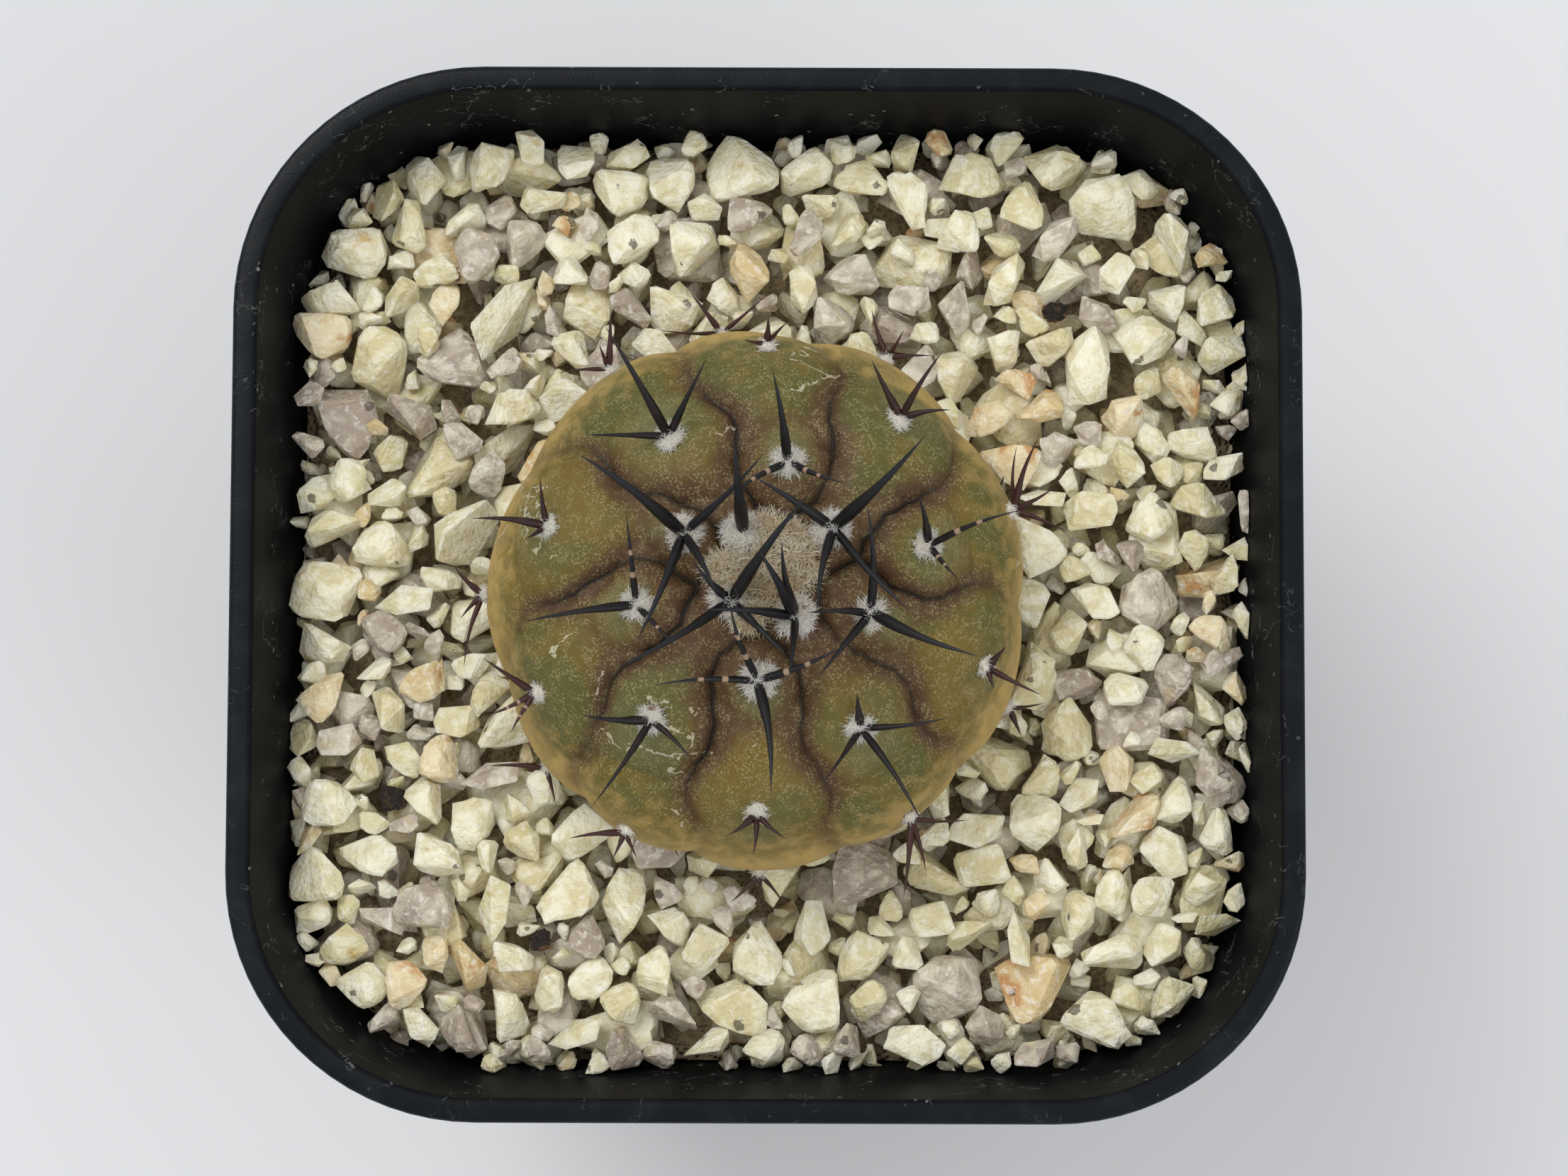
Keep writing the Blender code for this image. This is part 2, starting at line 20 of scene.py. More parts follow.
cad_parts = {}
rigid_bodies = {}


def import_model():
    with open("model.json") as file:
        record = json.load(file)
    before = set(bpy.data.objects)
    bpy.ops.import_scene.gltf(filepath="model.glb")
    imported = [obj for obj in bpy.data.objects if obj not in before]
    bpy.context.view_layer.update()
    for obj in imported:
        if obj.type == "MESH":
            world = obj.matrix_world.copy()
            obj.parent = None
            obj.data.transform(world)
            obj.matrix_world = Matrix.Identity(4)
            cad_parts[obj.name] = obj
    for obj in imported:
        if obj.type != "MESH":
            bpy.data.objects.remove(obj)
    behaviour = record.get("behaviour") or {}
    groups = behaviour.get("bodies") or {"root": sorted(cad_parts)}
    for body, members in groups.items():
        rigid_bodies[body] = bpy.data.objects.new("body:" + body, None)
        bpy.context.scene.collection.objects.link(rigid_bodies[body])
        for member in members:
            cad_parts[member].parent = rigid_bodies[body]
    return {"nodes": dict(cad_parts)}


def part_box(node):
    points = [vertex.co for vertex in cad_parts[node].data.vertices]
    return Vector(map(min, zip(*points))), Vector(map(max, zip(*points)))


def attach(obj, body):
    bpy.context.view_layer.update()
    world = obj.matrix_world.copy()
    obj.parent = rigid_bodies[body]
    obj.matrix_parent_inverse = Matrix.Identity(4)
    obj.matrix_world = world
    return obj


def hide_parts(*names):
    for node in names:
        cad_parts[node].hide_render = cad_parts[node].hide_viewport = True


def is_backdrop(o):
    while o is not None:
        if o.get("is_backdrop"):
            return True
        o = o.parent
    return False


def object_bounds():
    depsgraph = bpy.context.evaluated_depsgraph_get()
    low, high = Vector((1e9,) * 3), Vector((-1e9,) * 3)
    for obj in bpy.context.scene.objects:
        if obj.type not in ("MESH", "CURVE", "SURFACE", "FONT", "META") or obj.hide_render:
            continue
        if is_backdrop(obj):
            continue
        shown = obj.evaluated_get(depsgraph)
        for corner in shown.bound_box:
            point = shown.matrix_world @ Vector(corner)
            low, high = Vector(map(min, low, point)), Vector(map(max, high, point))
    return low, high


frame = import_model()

logging.basicConfig(level=logging.INFO, format="%(message)s")
log = logging.getLogger("potted_cactus")

MM = 0.001
ROOT = "root"
NOISE_SEED = 2  # noise vectors differ from run to run without one

GRAVEL_DROP = 0.011  # from the lip down to the packed gravel
CRUMBS = (1, 2, 3)  # numbers of the soil crumbs
STONES_REACH = 0.0022  # how far the upper stones rise over the packed gravel
WALL_GAP = 0.0001  # least distance of a stone from the pot's wall
BED_GAP = 0.0002  # least distance of the bed from the pot's wall


class Slot(Enum):
    """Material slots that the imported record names."""

    POT = "pot_plastic"
    SOIL = "potting_soil"
    GRAVEL = "pale_gravel"
    SKIN = "cactus_skin"
    WOOL = "wool_felt"
    SPINE = "spine_horn"


class StoneKind(Enum):
    """Kinds of stone in the top dressing."""

    CREAM = "cream"
    LILAC = "lilac"
    STAINED = "stained"


def srgb(red: float, green: float, blue: float) -> tuple[float, float, float, float]:
    """A display colour, 0 to 255, as linear light.

    Args:
        red, green, blue: The colour as it is seen on a display.

    Returns:
        Linear red, green and blue with a full alpha.
    """
    linear = []
    for part in (red, green, blue):
        share = part / 255.0
        linear.append(share / 12.92 if share <= 0.04045 else ((share + 0.055) / 1.055) ** 2.4)
    return (*linear, 1.0)


# ---------------------------------------------------------------- node trees


class Graph:
    """A node tree being built, with short ways to add the nodes used most."""

    def __init__(self, tree: bpy.types.NodeTree) -> None:
        """Take the tree to build in."""
        self.tree = tree

    def add(self, kind: str, values: dict | None = None, **settings: object) -> bpy.types.Node:
        """Add a node.

        Args:
            kind: The node's Blender type.
            values: Input name or number to a constant or to the socket that feeds it.
            settings: The node's own properties.

        Returns:
            The new node.
        """
        node = self.tree.nodes.new(kind)
        for name, value in settings.items():
            setattr(node, name, value)
        for key, value in (values or {}).items():
            if isinstance(value, bpy.types.NodeSocket):
                self.tree.links.new(value, node.inputs[key])
            else:
                node.inputs[key].default_value = value
        return node

    def math(self, operation: str, *values: object) -> bpy.types.NodeSocket:
        """A Math node's result for one to three values or sockets."""
        node = self.add("ShaderNodeMath", dict(enumerate(values)), operation=operation)
        return node.outputs[0]

    def blend(self, share: object, first: object, second: object) -> bpy.types.NodeSocket:
        """Two colours mixed by a share."""
        node = self.add("ShaderNodeMix", {0: share, 6: first, 7: second}, data_type="RGBA")
        return node.outputs[2]

    def cover(self, colour: object, mask: object, share: object,
              top: object) -> bpy.types.NodeSocket:
        """Lay another colour over one, by a mask times a share."""
        return self.blend(self.math("MULTIPLY", mask, share), colour, top)

    def step(self, value: object, low: object, high: object) -> bpy.types.NodeSocket:
        """A smooth step from 0 at low to 1 at high."""
        node = self.add("ShaderNodeMapRange", {0: value, 1: low, 2: high},
                        interpolation_type="SMOOTHSTEP")
        return node.outputs[0]

    def noise(self, vector: object, scale: object, detail: float = 3.0,
              distortion: float = 0.0) -> bpy.types.NodeSocket:
        """Noise between 0 and 1."""
        node = self.add("ShaderNodeTexNoise", {"Vector": vector, "Scale": scale,
                                               "Detail": detail, "Distortion": distortion})
        return node.outputs[0]

    def attribute(self, name: str) -> bpy.types.NodeSocket:
        """A float attribute of the mesh."""
        return self.add("ShaderNodeAttribute", attribute_name=name).outputs["Fac"]

    def group(self, tree: bpy.types.NodeTree, **values: object) -> bpy.types.Node:
        """Place a shared group and set its named inputs."""
        node = self.tree.nodes.new("ShaderNodeGroup")
        node.node_tree = tree
        for name, value in values.items():
            socket = node.inputs[name.replace("_", " ")]
            if isinstance(value, bpy.types.NodeSocket):
                self.tree.links.new(value, socket)
            else:
                socket.default_value = value
        return node


def new_group(name: str, inputs: dict[str, float | None], outputs: tuple[str, ...]) -> tuple:
    """Start a shader group whose first input is a vector.

    Args:
        name: The group's name.
        inputs: Names and defaults of the number inputs.
        outputs: Names of the number outputs.

    Returns:
        The graph to build in, the group's input node and its output node.
    """
    tree = bpy.data.node_groups.new(name, "ShaderNodeTree")
    tree.interface.new_socket("Vector", in_out="INPUT", socket_type="NodeSocketVector")
    for label, default in inputs.items():
        socket = tree.interface.new_socket(label, in_out="INPUT", socket_type="NodeSocketFloat")
        socket.default_value = default
    for label in outputs:
        tree.interface.new_socket(label, in_out="OUTPUT", socket_type="NodeSocketFloat")
    graph = Graph(tree)
    return graph, graph.add("NodeGroupInput"), graph.add("NodeGroupOutput")


def mottle_group() -> bpy.types.NodeTree:
    """Soft patches: noise between two levels, as a mask from 0 to 1."""
    graph, source, result = new_group(
        "soft_mottle", {"Scale": 200.0, "Low": 0.4, "High": 0.6}, ("Mask",))
    cloud = graph.noise(source.outputs["Vector"], source.outputs["Scale"], 4.0, 0.3)
    mask = graph.step(cloud, source.outputs["Low"], source.outputs["High"])
    graph.tree.links.new(mask, result.inputs["Mask"])
    return graph.tree


def stipple_group() -> bpy.types.NodeTree:
    """Fine pale stippling: closely set dots with darker lines between them."""
    graph, source, result = new_group("fine_stipple", {"Scale": 4000.0}, ("Mask", "Height"))
    cells = graph.add("ShaderNodeTexVoronoi", {
        "Vector": source.outputs["Vector"], "Scale": source.outputs["Scale"],
        "Randomness": 1.0}, feature="F1")
    dots = graph.step(cells.outputs["Distance"], 0.62, 0.18)
    patch = graph.noise(source.outputs["Vector"],
                        graph.math("MULTIPLY", source.outputs["Scale"], 0.22), 2.0)
    mask = graph.math("MULTIPLY", dots, graph.step(patch, 0.32, 0.62))
    graph.tree.links.new(mask, result.inputs["Mask"])
    graph.tree.links.new(dots, result.inputs["Height"])
    return graph.tree


def scuff_group() -> bpy.types.NodeTree:
    """Thin, broken, curving scratches that gather in a few places."""
    graph, source, result = new_group(
        "thin_scuffs", {"Scale": 180.0, "Width": 0.02, "Amount": 0.6}, ("Mask",))
    vector = source.outputs["Vector"]
    bend = graph.add("ShaderNodeTexNoise", {"Vector": vector, "Scale": 420.0, "Detail": 3.0})
    shift = graph.add("ShaderNodeVectorMath", {0: bend.outputs["Color"], 1: (0.5, 0.5, 0.5)},
                      operation="SUBTRACT")
    moved = graph.add("ShaderNodeVectorMath", {0: shift.outputs[0], "Scale": 0.0045},
                      operation="SCALE")
    bent = graph.add("ShaderNodeVectorMath", {0: vector, 1: moved.outputs[0]}, operation="ADD")
    edges = graph.add("ShaderNodeTexVoronoi", {
        "Vector": bent.outputs[0], "Scale": source.outputs["Scale"]},
        feature="DISTANCE_TO_EDGE")
    line = graph.math("LESS_THAN", edges.outputs["Distance"], source.outputs["Width"])
    place = graph.noise(vector, graph.math("MULTIPLY", source.outputs["Scale"], 0.7), 1.0)
    kept = graph.math("GREATER_THAN", place, source.outputs["Amount"])
    breaks = graph.math("GREATER_THAN", graph.noise(vector, 1500.0, 2.0), 0.46)
    mask = graph.math("MULTIPLY", graph.math("MULTIPLY", line, kept), breaks)
    graph.tree.links.new(mask, result.inputs["Mask"])
    return graph.tree


def speck_group() -> bpy.types.NodeTree:
    """Scattered uneven specks: a share of the cells of a grid hold a dot."""
    graph, source, result = new_group(
        "scattered_specks", {"Scale": 900.0, "Share": 0.08, "Radius": 0.22}, ("Mask",))
    uneven = graph.add("ShaderNodeTexNoise", {
        "Vector": source.outputs["Vector"], "Detail": 2.0,
        "Scale": graph.math("MULTIPLY", source.outputs["Scale"], 3.0)})
    bend = graph.add("ShaderNodeVectorMath", {
        0: uneven.outputs["Color"], "Scale": graph.math("DIVIDE", 0.5, source.outputs["Scale"])},
        operation="SCALE")
    bent = graph.add("ShaderNodeVectorMath", {
        0: source.outputs["Vector"], 1: bend.outputs[0]}, operation="ADD")
    cells = graph.add("ShaderNodeTexVoronoi", {
        "Vector": bent.outputs[0], "Scale": source.outputs["Scale"]}, feature="F1")
    lot = graph.add("ShaderNodeSeparateColor", {0: cells.outputs["Color"]})
    chosen = graph.math("LESS_THAN", lot.outputs[0], source.outputs["Share"])
    size = graph.math("MULTIPLY", source.outputs["Radius"],
                      graph.math("ADD", 0.4, lot.outputs[1]))
    dot = graph.math("LESS_THAN", cells.outputs["Distance"], size)
    graph.tree.links.new(graph.math("MULTIPLY", chosen, dot), result.inputs["Mask"])
    return graph.tree


def grain_group() -> bpy.types.NodeTree:
    """Two sizes of relief together, as a height from 0 to 1."""
    graph, source, result = new_group(
        "two_grain", {"Coarse": 300.0, "Fine": 2000.0, "Share": 0.35}, ("Height",))
    coarse = graph.noise(source.outputs["Vector"], source.outputs["Coarse"], 3.0)
    fine = graph.noise(source.outputs["Vector"], source.outputs["Fine"], 3.0)
    height = graph.add("ShaderNodeMix", {0: source.outputs["Share"], 2: coarse, 3: fine},
                       data_type="FLOAT")
    graph.tree.links.new(height.outputs[0], result.inputs["Height"])
    return graph.tree


@dataclass(frozen=True)
class EffectKit:
    """The shader groups that several finishes share."""

    mottle: bpy.types.NodeTree
    stipple: bpy.types.NodeTree
    scuff: bpy.types.NodeTree
    speck: bpy.types.NodeTree
    grain: bpy.types.NodeTree


def build_effects() -> EffectKit:
    """Build each shared shader group once."""
    return EffectKit(mottle_group(), stipple_group(), scuff_group(), speck_group(),
                     grain_group())


class Paint:
    """A material being built round its Principled shader."""

    def __init__(self, name: str, kit: EffectKit | None = None) -> None:
        """Make the material, find its shader and keep the shared groups at hand."""
        self.kit = kit
        self.material = bpy.data.materials.new(name)
        self.material.use_nodes = True
        self.graph = Graph(self.material.node_tree)
        self.shader = self.material.node_tree.nodes["Principled BSDF"]
        self.place = self.graph.add("ShaderNodeTexCoord").outputs["Object"]

    def feed(self, socket: str, value: object) -> None:
        """Set or link one of the shader's sockets."""
        if isinstance(value, bpy.types.NodeSocket):
            self.graph.tree.links.new(value, self.shader.inputs[socket])
        else:
            self.shader.inputs[socket].default_value = value

    def mottle(self, scale: float, low: float, high: float) -> bpy.types.NodeSocket:
        """Soft patches, as a mask."""
        return self.graph.group(self.kit.mottle, Vector=self.place, Scale=scale, Low=low,
                                High=high).outputs[0]

    def specks(self, scale: float, share: float, radius: float) -> bpy.types.NodeSocket:
        """Scattered dots, as a mask."""
        return self.graph.group(self.kit.speck, Vector=self.place, Scale=scale, Share=share,
                                Radius=radius).outputs[0]

    def scuffs(self, scale: float, width: float, amount: float) -> bpy.types.NodeSocket:
        """Thin scratches, as a mask."""
        return self.graph.group(self.kit.scuff, Vector=self.place, Scale=scale, Width=width,
                                Amount=amount).outputs[0]

    def stipple(self, scale: float) -> bpy.types.Node:
        """Fine dots, as a group with a mask and a height."""
        return self.graph.group(self.kit.stipple, Vector=self.place, Scale=scale)

    def roughen(self, coarse: float, fine: float, share: float, distance: float,
                strength: float) -> None:
        """Add a relief of two sizes together.

        Args:
            coarse, fine: The scales of the two.
            share: How much of the relief is the fine one.
            distance: The relief's height.
            strength: How strongly it shows, from 0 to 1.
        """
        grain = self.graph.group(self.kit.grain, Vector=self.place, Coarse=coarse, Fine=fine,
                                 Share=share)
        self.relief(grain.outputs[0], distance, strength)

    def translucent(self, weight: float, radius: tuple[float, float, float]) -> None:
        """Let light in under the surface, as deep as the radius of each colour."""
        self.feed("Subsurface Weight", weight)
        self.feed("Subsurface Radius", radius)
        self.feed("Subsurface Scale", 1.0)

    def relief(self, height: bpy.types.NodeSocket, distance: float, strength: float) -> None:
        """Add a bump to the shader's normal, over any bump already there."""
        values = {"Height": height, "Distance": distance, "Strength": strength}
        before = self.shader.inputs["Normal"].links
        if before:
            values["Normal"] = before[0].from_socket
        bump = self.graph.add("ShaderNodeBump", values)
        self.feed("Normal", bump.outputs[0])


# ---------------------------------------------------------------- finishes


@dataclass(frozen=True)
class SkinFinish:
    """Waxy olive skin: purple-brown flush that is partly painted shade beside the furrows, near-black
    painted shade in the furrows, ochre shoulders, pale stippling and old scuffs.
    """

    green: tuple = srgb(80, 79, 33)
    yellow: tuple = srgb(107, 88, 27)
    # Purple-brown: the skin's own tint towards the crown, and painted shade beside the furrows and
    # notches.
    purple: tuple = srgb(84, 60, 38)
    furrow_shade: tuple = srgb(17, 10, 7)
    # Near-black painted shade laid into the furrows.
    tan: tuple = srgb(184, 154, 92)
    cork: tuple = srgb(104, 82, 50)
    bloom: tuple = srgb(108, 106, 70)
    wax: tuple = srgb(200, 192, 168)
    dot: tuple = srgb(162, 152, 108)

    def build(self, kit: EffectKit) -> bpy.types.Material:
        """Make the material.

        Args:
            kit: The shared shader groups.

        Returns:
            The skin's material.
        """
        paint = Paint("waxy_skin", kit)
        graph = paint.graph
        broad = paint.mottle(scale=170.0, low=0.38, high=0.66)
        close = paint.mottle(scale=620.0, low=0.35, high=0.7)
        warm = graph.math("MULTIPLY_ADD", broad, 0.55, graph.attribute("tint"))
        warm = graph.math("MULTIPLY_ADD", close, 0.25, warm)
        colour = graph.blend(graph.step(warm, 0.25, 1.1), self.green, self.yellow)
        colour = graph.cover(colour, graph.attribute("bloom"), 0.75, self.bloom)
        edge = graph.math("MULTIPLY_ADD", close, 0.3, graph.attribute("shoulder"))
        colour = graph.blend(graph.step(edge, 0.35, 1.2), colour, self.tan)
        low = graph.math("MULTIPLY_ADD", close, 0.45, graph.attribute("cork"))
        colour = graph.blend(graph.step(low, 0.3, 1.1), colour, self.cork)
        # Purple flush: the skin's own purple-brown tint towards the crown, and painted shade along the
        # furrows and the notches between areoles.
        flush_and_shade = graph.math("MULTIPLY_ADD", broad, 0.25, graph.attribute("flush_and_shade"))
        colour = graph.blend(graph.step(flush_and_shade, 0.2, 1.15), colour, self.purple)
        dots = paint.stipple(scale=4400.0)
        colour = graph.cover(colour, dots.outputs["Mask"], 0.5, self.dot)
        # Painted shade in the furrows: a thin dark line along each furrow and a broader, weaker darkening
        # beside it, scaled by the furrow shade attribute.
        line = graph.step(graph.attribute("edge"), 0.30, 0.08)
        shade = graph.math("MULTIPLY", graph.step(graph.attribute("edge"), 1.0, 0.1), 0.4)
        deep = graph.math("MULTIPLY", graph.math("MAXIMUM", line, shade),
                          graph.attribute("furrow_shade"))
        colour = graph.cover(colour, deep, 0.95, self.furrow_shade)
        marks = paint.scuffs(scale=150.0, width=0.016, amount=0.62)
        colour = graph.cover(colour, marks, 0.6, self.wax)
        paint.feed("Base Color", colour)
        paint.feed("Roughness", graph.math("MULTIPLY_ADD", close, 0.12, 0.5))
        paint.feed("Specular IOR Level", 0.25)
        paint.translucent(weight=0.06, radius=(0.0012, 0.0008, 0.0003))
        paint.relief(dots.outputs["Height"], 0.00006, 0.5)
        paint.roughen(coarse=260.0, fine=1300.0, share=0.4, distance=0.0004, strength=0.25)
        return paint.material


@dataclass(frozen=True)
class StoneFinish:
    """Cloudy broken mineral with pale faces, stains and dark grains."""

    kind: StoneKind
    pale: tuple
    deep: tuple
    stain: tuple
    stain_low: float
    speck_share: float
    fleck: tuple = srgb(62, 56, 46)
    chip: tuple = srgb(248, 245, 234)

    def build(self, kit: EffectKit) -> bpy.types.Material:
        """Make the material.

        Args:
            kit: The shared shader groups.

        Returns:
            The stone's material.
        """
        paint = Paint(f"{self.kind.value}_stone", kit)
        graph = paint.graph
        tone = graph.attribute("tone")
        offset = graph.add("ShaderNodeCombineXYZ", {0: tone, 1: tone, 2: tone})
        paint.place = graph.add("ShaderNodeVectorMath", {
            0: paint.place, 1: offset.outputs[0]}, operation="ADD").outputs[0]
        cloud = paint.mottle(scale=620.0, low=0.34, high=0.64)
        wide = graph.math("MULTIPLY_ADD", cloud, 0.7, graph.math("MULTIPLY", tone, 0.6))
        colour = graph.blend(graph.step(wide, 0.1, 1.15), self.pale, self.deep)
        rust = paint.mottle(scale=330.0, low=self.stain_low, high=self.stain_low + 0.12)
        colour = graph.cover(colour, rust, 0.8, self.stain)
        dark = paint.specks(scale=700.0, share=self.speck_share, radius=0.3)
        colour = graph.cover(colour, dark, 0.75, self.fleck)
        chips = paint.mottle(scale=1300.0, low=0.56, high=0.66)
        colour = graph.cover(colour, chips, 0.45, self.chip)
        paint.feed("Base Color", colour)
        paint.feed("Roughness", graph.math("MULTIPLY_ADD", cloud, 0.2, 0.42))
        paint.feed("Specular IOR Level", 0.45)
        paint.translucent(weight=0.35, radius=(0.0020, 0.0017, 0.0011))
        paint.roughen(coarse=800.0, fine=2400.0, share=0.35, distance=0.0008, strength=0.85)
        return paint.material


STONE_FINISHES = (
    StoneFinish(StoneKind.CREAM, pale=srgb(244, 238, 212), deep=srgb(214, 203, 158),
                stain=srgb(204, 172, 104), stain_low=0.66, speck_share=0.05),
    StoneFinish(StoneKind.LILAC, pale=srgb(216, 207, 188), deep=srgb(168, 154, 138),
                stain=srgb(202, 186, 146), stain_low=0.62, speck_share=0.04),
    StoneFinish(StoneKind.STAINED, pale=srgb(236, 222, 186), deep=srgb(214, 190, 142),
                stain=srgb(190, 134, 72), stain_low=0.56, speck_share=0.10),
)


@dataclass(frozen=True)
class PlasticFinish:
    """Black injection moulded plastic with settled dust and rubbed marks."""

    name: str
    colour: tuple
    specular: float
    roughness: float
    dustiness: float
    dust: tuple = srgb(122, 124, 124)

    def build(self, kit: EffectKit) -> bpy.types.Material:
        """Make the material.

        Args:
            kit: The shared shader groups.

        Returns:
            The pot's material.
        """
        paint = Paint(self.name, kit)
        graph = paint.graph
        specks = paint.specks(scale=1100.0, share=0.09, radius=0.16)
        streaks = paint.scuffs(scale=300.0, width=0.012, amount=0.56)
        film = paint.mottle(scale=260.0, low=0.45, high=0.8)
        colour = graph.cover(self.colour, film, 0.03, self.dust)
        colour = graph.cover(colour, specks, self.dustiness, self.dust)
        colour = graph.cover(colour, streaks, self.dustiness * 0.5, self.dust)
        paint.feed("Base Color", colour)
        paint.feed("Roughness", graph.math("MULTIPLY_ADD", film, 0.08, self.roughness))
        paint.feed("Specular IOR Level", self.specular)
        paint.roughen(coarse=900.0, fine=5200.0, share=0.6, distance=0.00008, strength=0.5)
        return paint.material


@dataclass(frozen=True)
class SoilFinish:
    """Dark, porous potting mix with rusty flecks."""

    name: str = "potting_mix"
    dark: tuple = srgb(34, 27, 21)
    rust: tuple = srgb(120, 82, 44)
    crumb: tuple = srgb(92, 78, 62)

    def build(self, kit: EffectKit) -> bpy.types.Material:
        """Make the material.

        Args:
            kit: The shared shader groups.

        Returns:
            The potting mix's material.
        """
        paint = Paint(self.name, kit)
        graph = paint.graph
        flecks = paint.mottle(scale=700.0, low=0.52, high=0.68)
        pores = paint.stipple(scale=2200.0)
        colour = graph.cover(self.dark, flecks, 0.7, self.rust)
        colour = graph.cover(colour, pores.outputs["Mask"], 0.3, self.crumb)
        paint.feed("Base Color", colour)
        paint.feed("Roughness", graph.math("MULTIPLY_ADD", flecks, -0.15, 0.95))
        paint.relief(pores.outputs["Height"], 0.0003, 0.8)
        return paint.material


@dataclass(frozen=True)
class SpineFinish:
    """Horn: black when young, brown with pale bands when old, with a painted bluish sheen towards the tip.
    """

    black: tuple = srgb(13, 10, 10)
    brown: tuple = srgb(58, 32, 27)
    band: tuple = srgb(152, 128, 106)
    # A painted bluish sheen.
    sheen: tuple = srgb(34, 37, 44)

    def build(self, kit: EffectKit) -> bpy.types.Material:
        """Make the material.

        Args:
            kit: The shared shader groups.

        Returns:
            The spines' material.
        """
        paint = Paint("spine_horn", kit)
        graph = paint.graph
        along = graph.attribute("along")
        streak = paint.mottle(scale=1400.0, low=0.35, high=0.7)
        age = graph.math("MULTIPLY_ADD", streak, 0.3, graph.attribute("age"))
        colour = graph.blend(graph.step(age, 0.35, 1.2), self.black, self.brown)
        # Painted sheen: young spines are lightened to a bluish grey towards the tip.
        tip_sheen = graph.math("MULTIPLY", graph.step(along, 0.2, 0.75), 0.55)
        young = graph.math("SUBTRACT", 1.0, graph.attribute("age"))
        colour = graph.cover(colour, tip_sheen, young, self.sheen)
        wave = graph.math("SINE", graph.math("MULTIPLY", along, 26.0))
        ring = graph.math("MULTIPLY", graph.step(wave, 0.55, 0.9), graph.attribute("band"))
        reach = graph.math("MULTIPLY", graph.step(along, 0.12, 0.25),
                           graph.step(along, 0.8, 0.6))
        colour = graph.cover(colour, ring, reach, self.band)
        paint.feed("Base Color", colour)
        paint.feed("Roughness", graph.math("MULTIPLY_ADD", streak, 0.15, 0.36))
        paint.feed("Specular IOR Level", 0.3)
        paint.roughen(coarse=1800.0, fine=6000.0, share=0.4, distance=0.00006, strength=0.5)
        return paint.material


@dataclass(frozen=True)
class WoolFinish:
    """Plant felt: clean white on the areoles and creamy in the crown, with painted shade darkening each
    hair towards its root.
    """

    name: str
    clean: tuple
    aged: tuple
    # The colour at the hairs' roots, which is painted shade.
    root: tuple
    fleck_share: float
    strand_share: float
    fleck: tuple = srgb(126, 78, 40)

    def build(self, kit: EffectKit) -> bpy.types.Material:
        """Make the material.

        Args:
            kit: The shared shader groups.

        Returns:
            The felt's material.
        """
        paint = Paint(self.name, kit)
        graph = paint.graph
        patch = paint.mottle(scale=420.0, low=0.44, high=0.62)
        flecks = paint.specks(scale=900.0, share=self.fleck_share, radius=0.35)
        colour = graph.cover(self.clean, patch, 0.7, self.aged)
        # Painted shade: each hair darkens towards its root.
        colour = graph.blend(graph.step(graph.attribute("along"), 0.0, 0.55), self.root,
                             colour)
        # Random fine strands are darkened towards the same painted root shade.
        strands = paint.mottle(scale=5200.0, low=0.4, high=0.6)
        colour = graph.cover(colour, strands, self.strand_share, self.root)
        colour = graph.cover(colour, flecks, 0.8, self.fleck)
        paint.feed("Base Color", colour)
        paint.feed("Roughness", 0.95)
        paint.feed("Specular IOR Level", 0.1)
        paint.translucent(weight=0.3, radius=(0.0006, 0.0005, 0.0004))
        paint.roughen(coarse=2500.0, fine=7000.0, share=0.5, distance=0.0002, strength=0.7)
        return paint.material


# ---------------------------------------------------------------- mesh helpers


def finish_piece(name: str, mesh: bpy.types.Mesh, material: bpy.types.Material,
                 stands_for: tuple[str, ...] = ()) -> bpy.types.Object:
    """Put a finished mesh in the scene as a piece of the object.

    Args:
        name: The piece's name.
        mesh: Its mesh, with its place in its vertices.
        material: Its material.
        stands_for: The CAD nodes it replaces.

    Returns:
        The new object, riding on the root body.
    """
    mesh.materials.clear()
    mesh.materials.append(material)
    piece = bpy.data.objects.new(name, mesh)
    bpy.context.scene.collection.objects.link(piece)
    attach(piece, ROOT)
    if stands_for:
        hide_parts(*stands_for)
    log.info("%s: %d faces", name, len(mesh.polygons))
    return piece


def mesh_from(name: str, points: object, faces: list,
              edges: tuple | list = ()) -> bpy.types.Mesh:
    """A mesh from points and faces, shaded smooth."""
    mesh = bpy.data.meshes.new(name)
    mesh.from_pydata([tuple(point) for point in points], edges, faces)
    if faces:
        mesh.shade_smooth()
    mesh.update()
    return mesh


def add_values(mesh: bpy.types.Mesh, name: str, values: object, kind: str = "FLOAT") -> None:
    """Store one value for each vertex as a named attribute."""
    layer = mesh.attributes.new(name, kind, "POINT")
    key = "vector" if kind == "FLOAT_VECTOR" else "value"
    number = np.int32 if kind == "INT" else np.float32
    layer.data.foreach_set(key, np.asarray(values, dtype=number).ravel())


def loft_faces(rows: int, count: int, first_cap: bool = True, last_cap: bool = True) -> list:
    """Faces through rings of points listed one after another, outward for rising rings."""
    faces = []
    for row in range(rows - 1):
        for i in range(count):
            j = (i + 1) % count
            low, high = row * count, (row + 1) * count
            faces.append((low + i, low + j, high + j, high + i))
    if first_cap:
        faces.append(tuple(reversed(range(count))))
    if last_cap:
        faces.append(tuple(range((rows - 1) * count, rows * count)))
    return faces


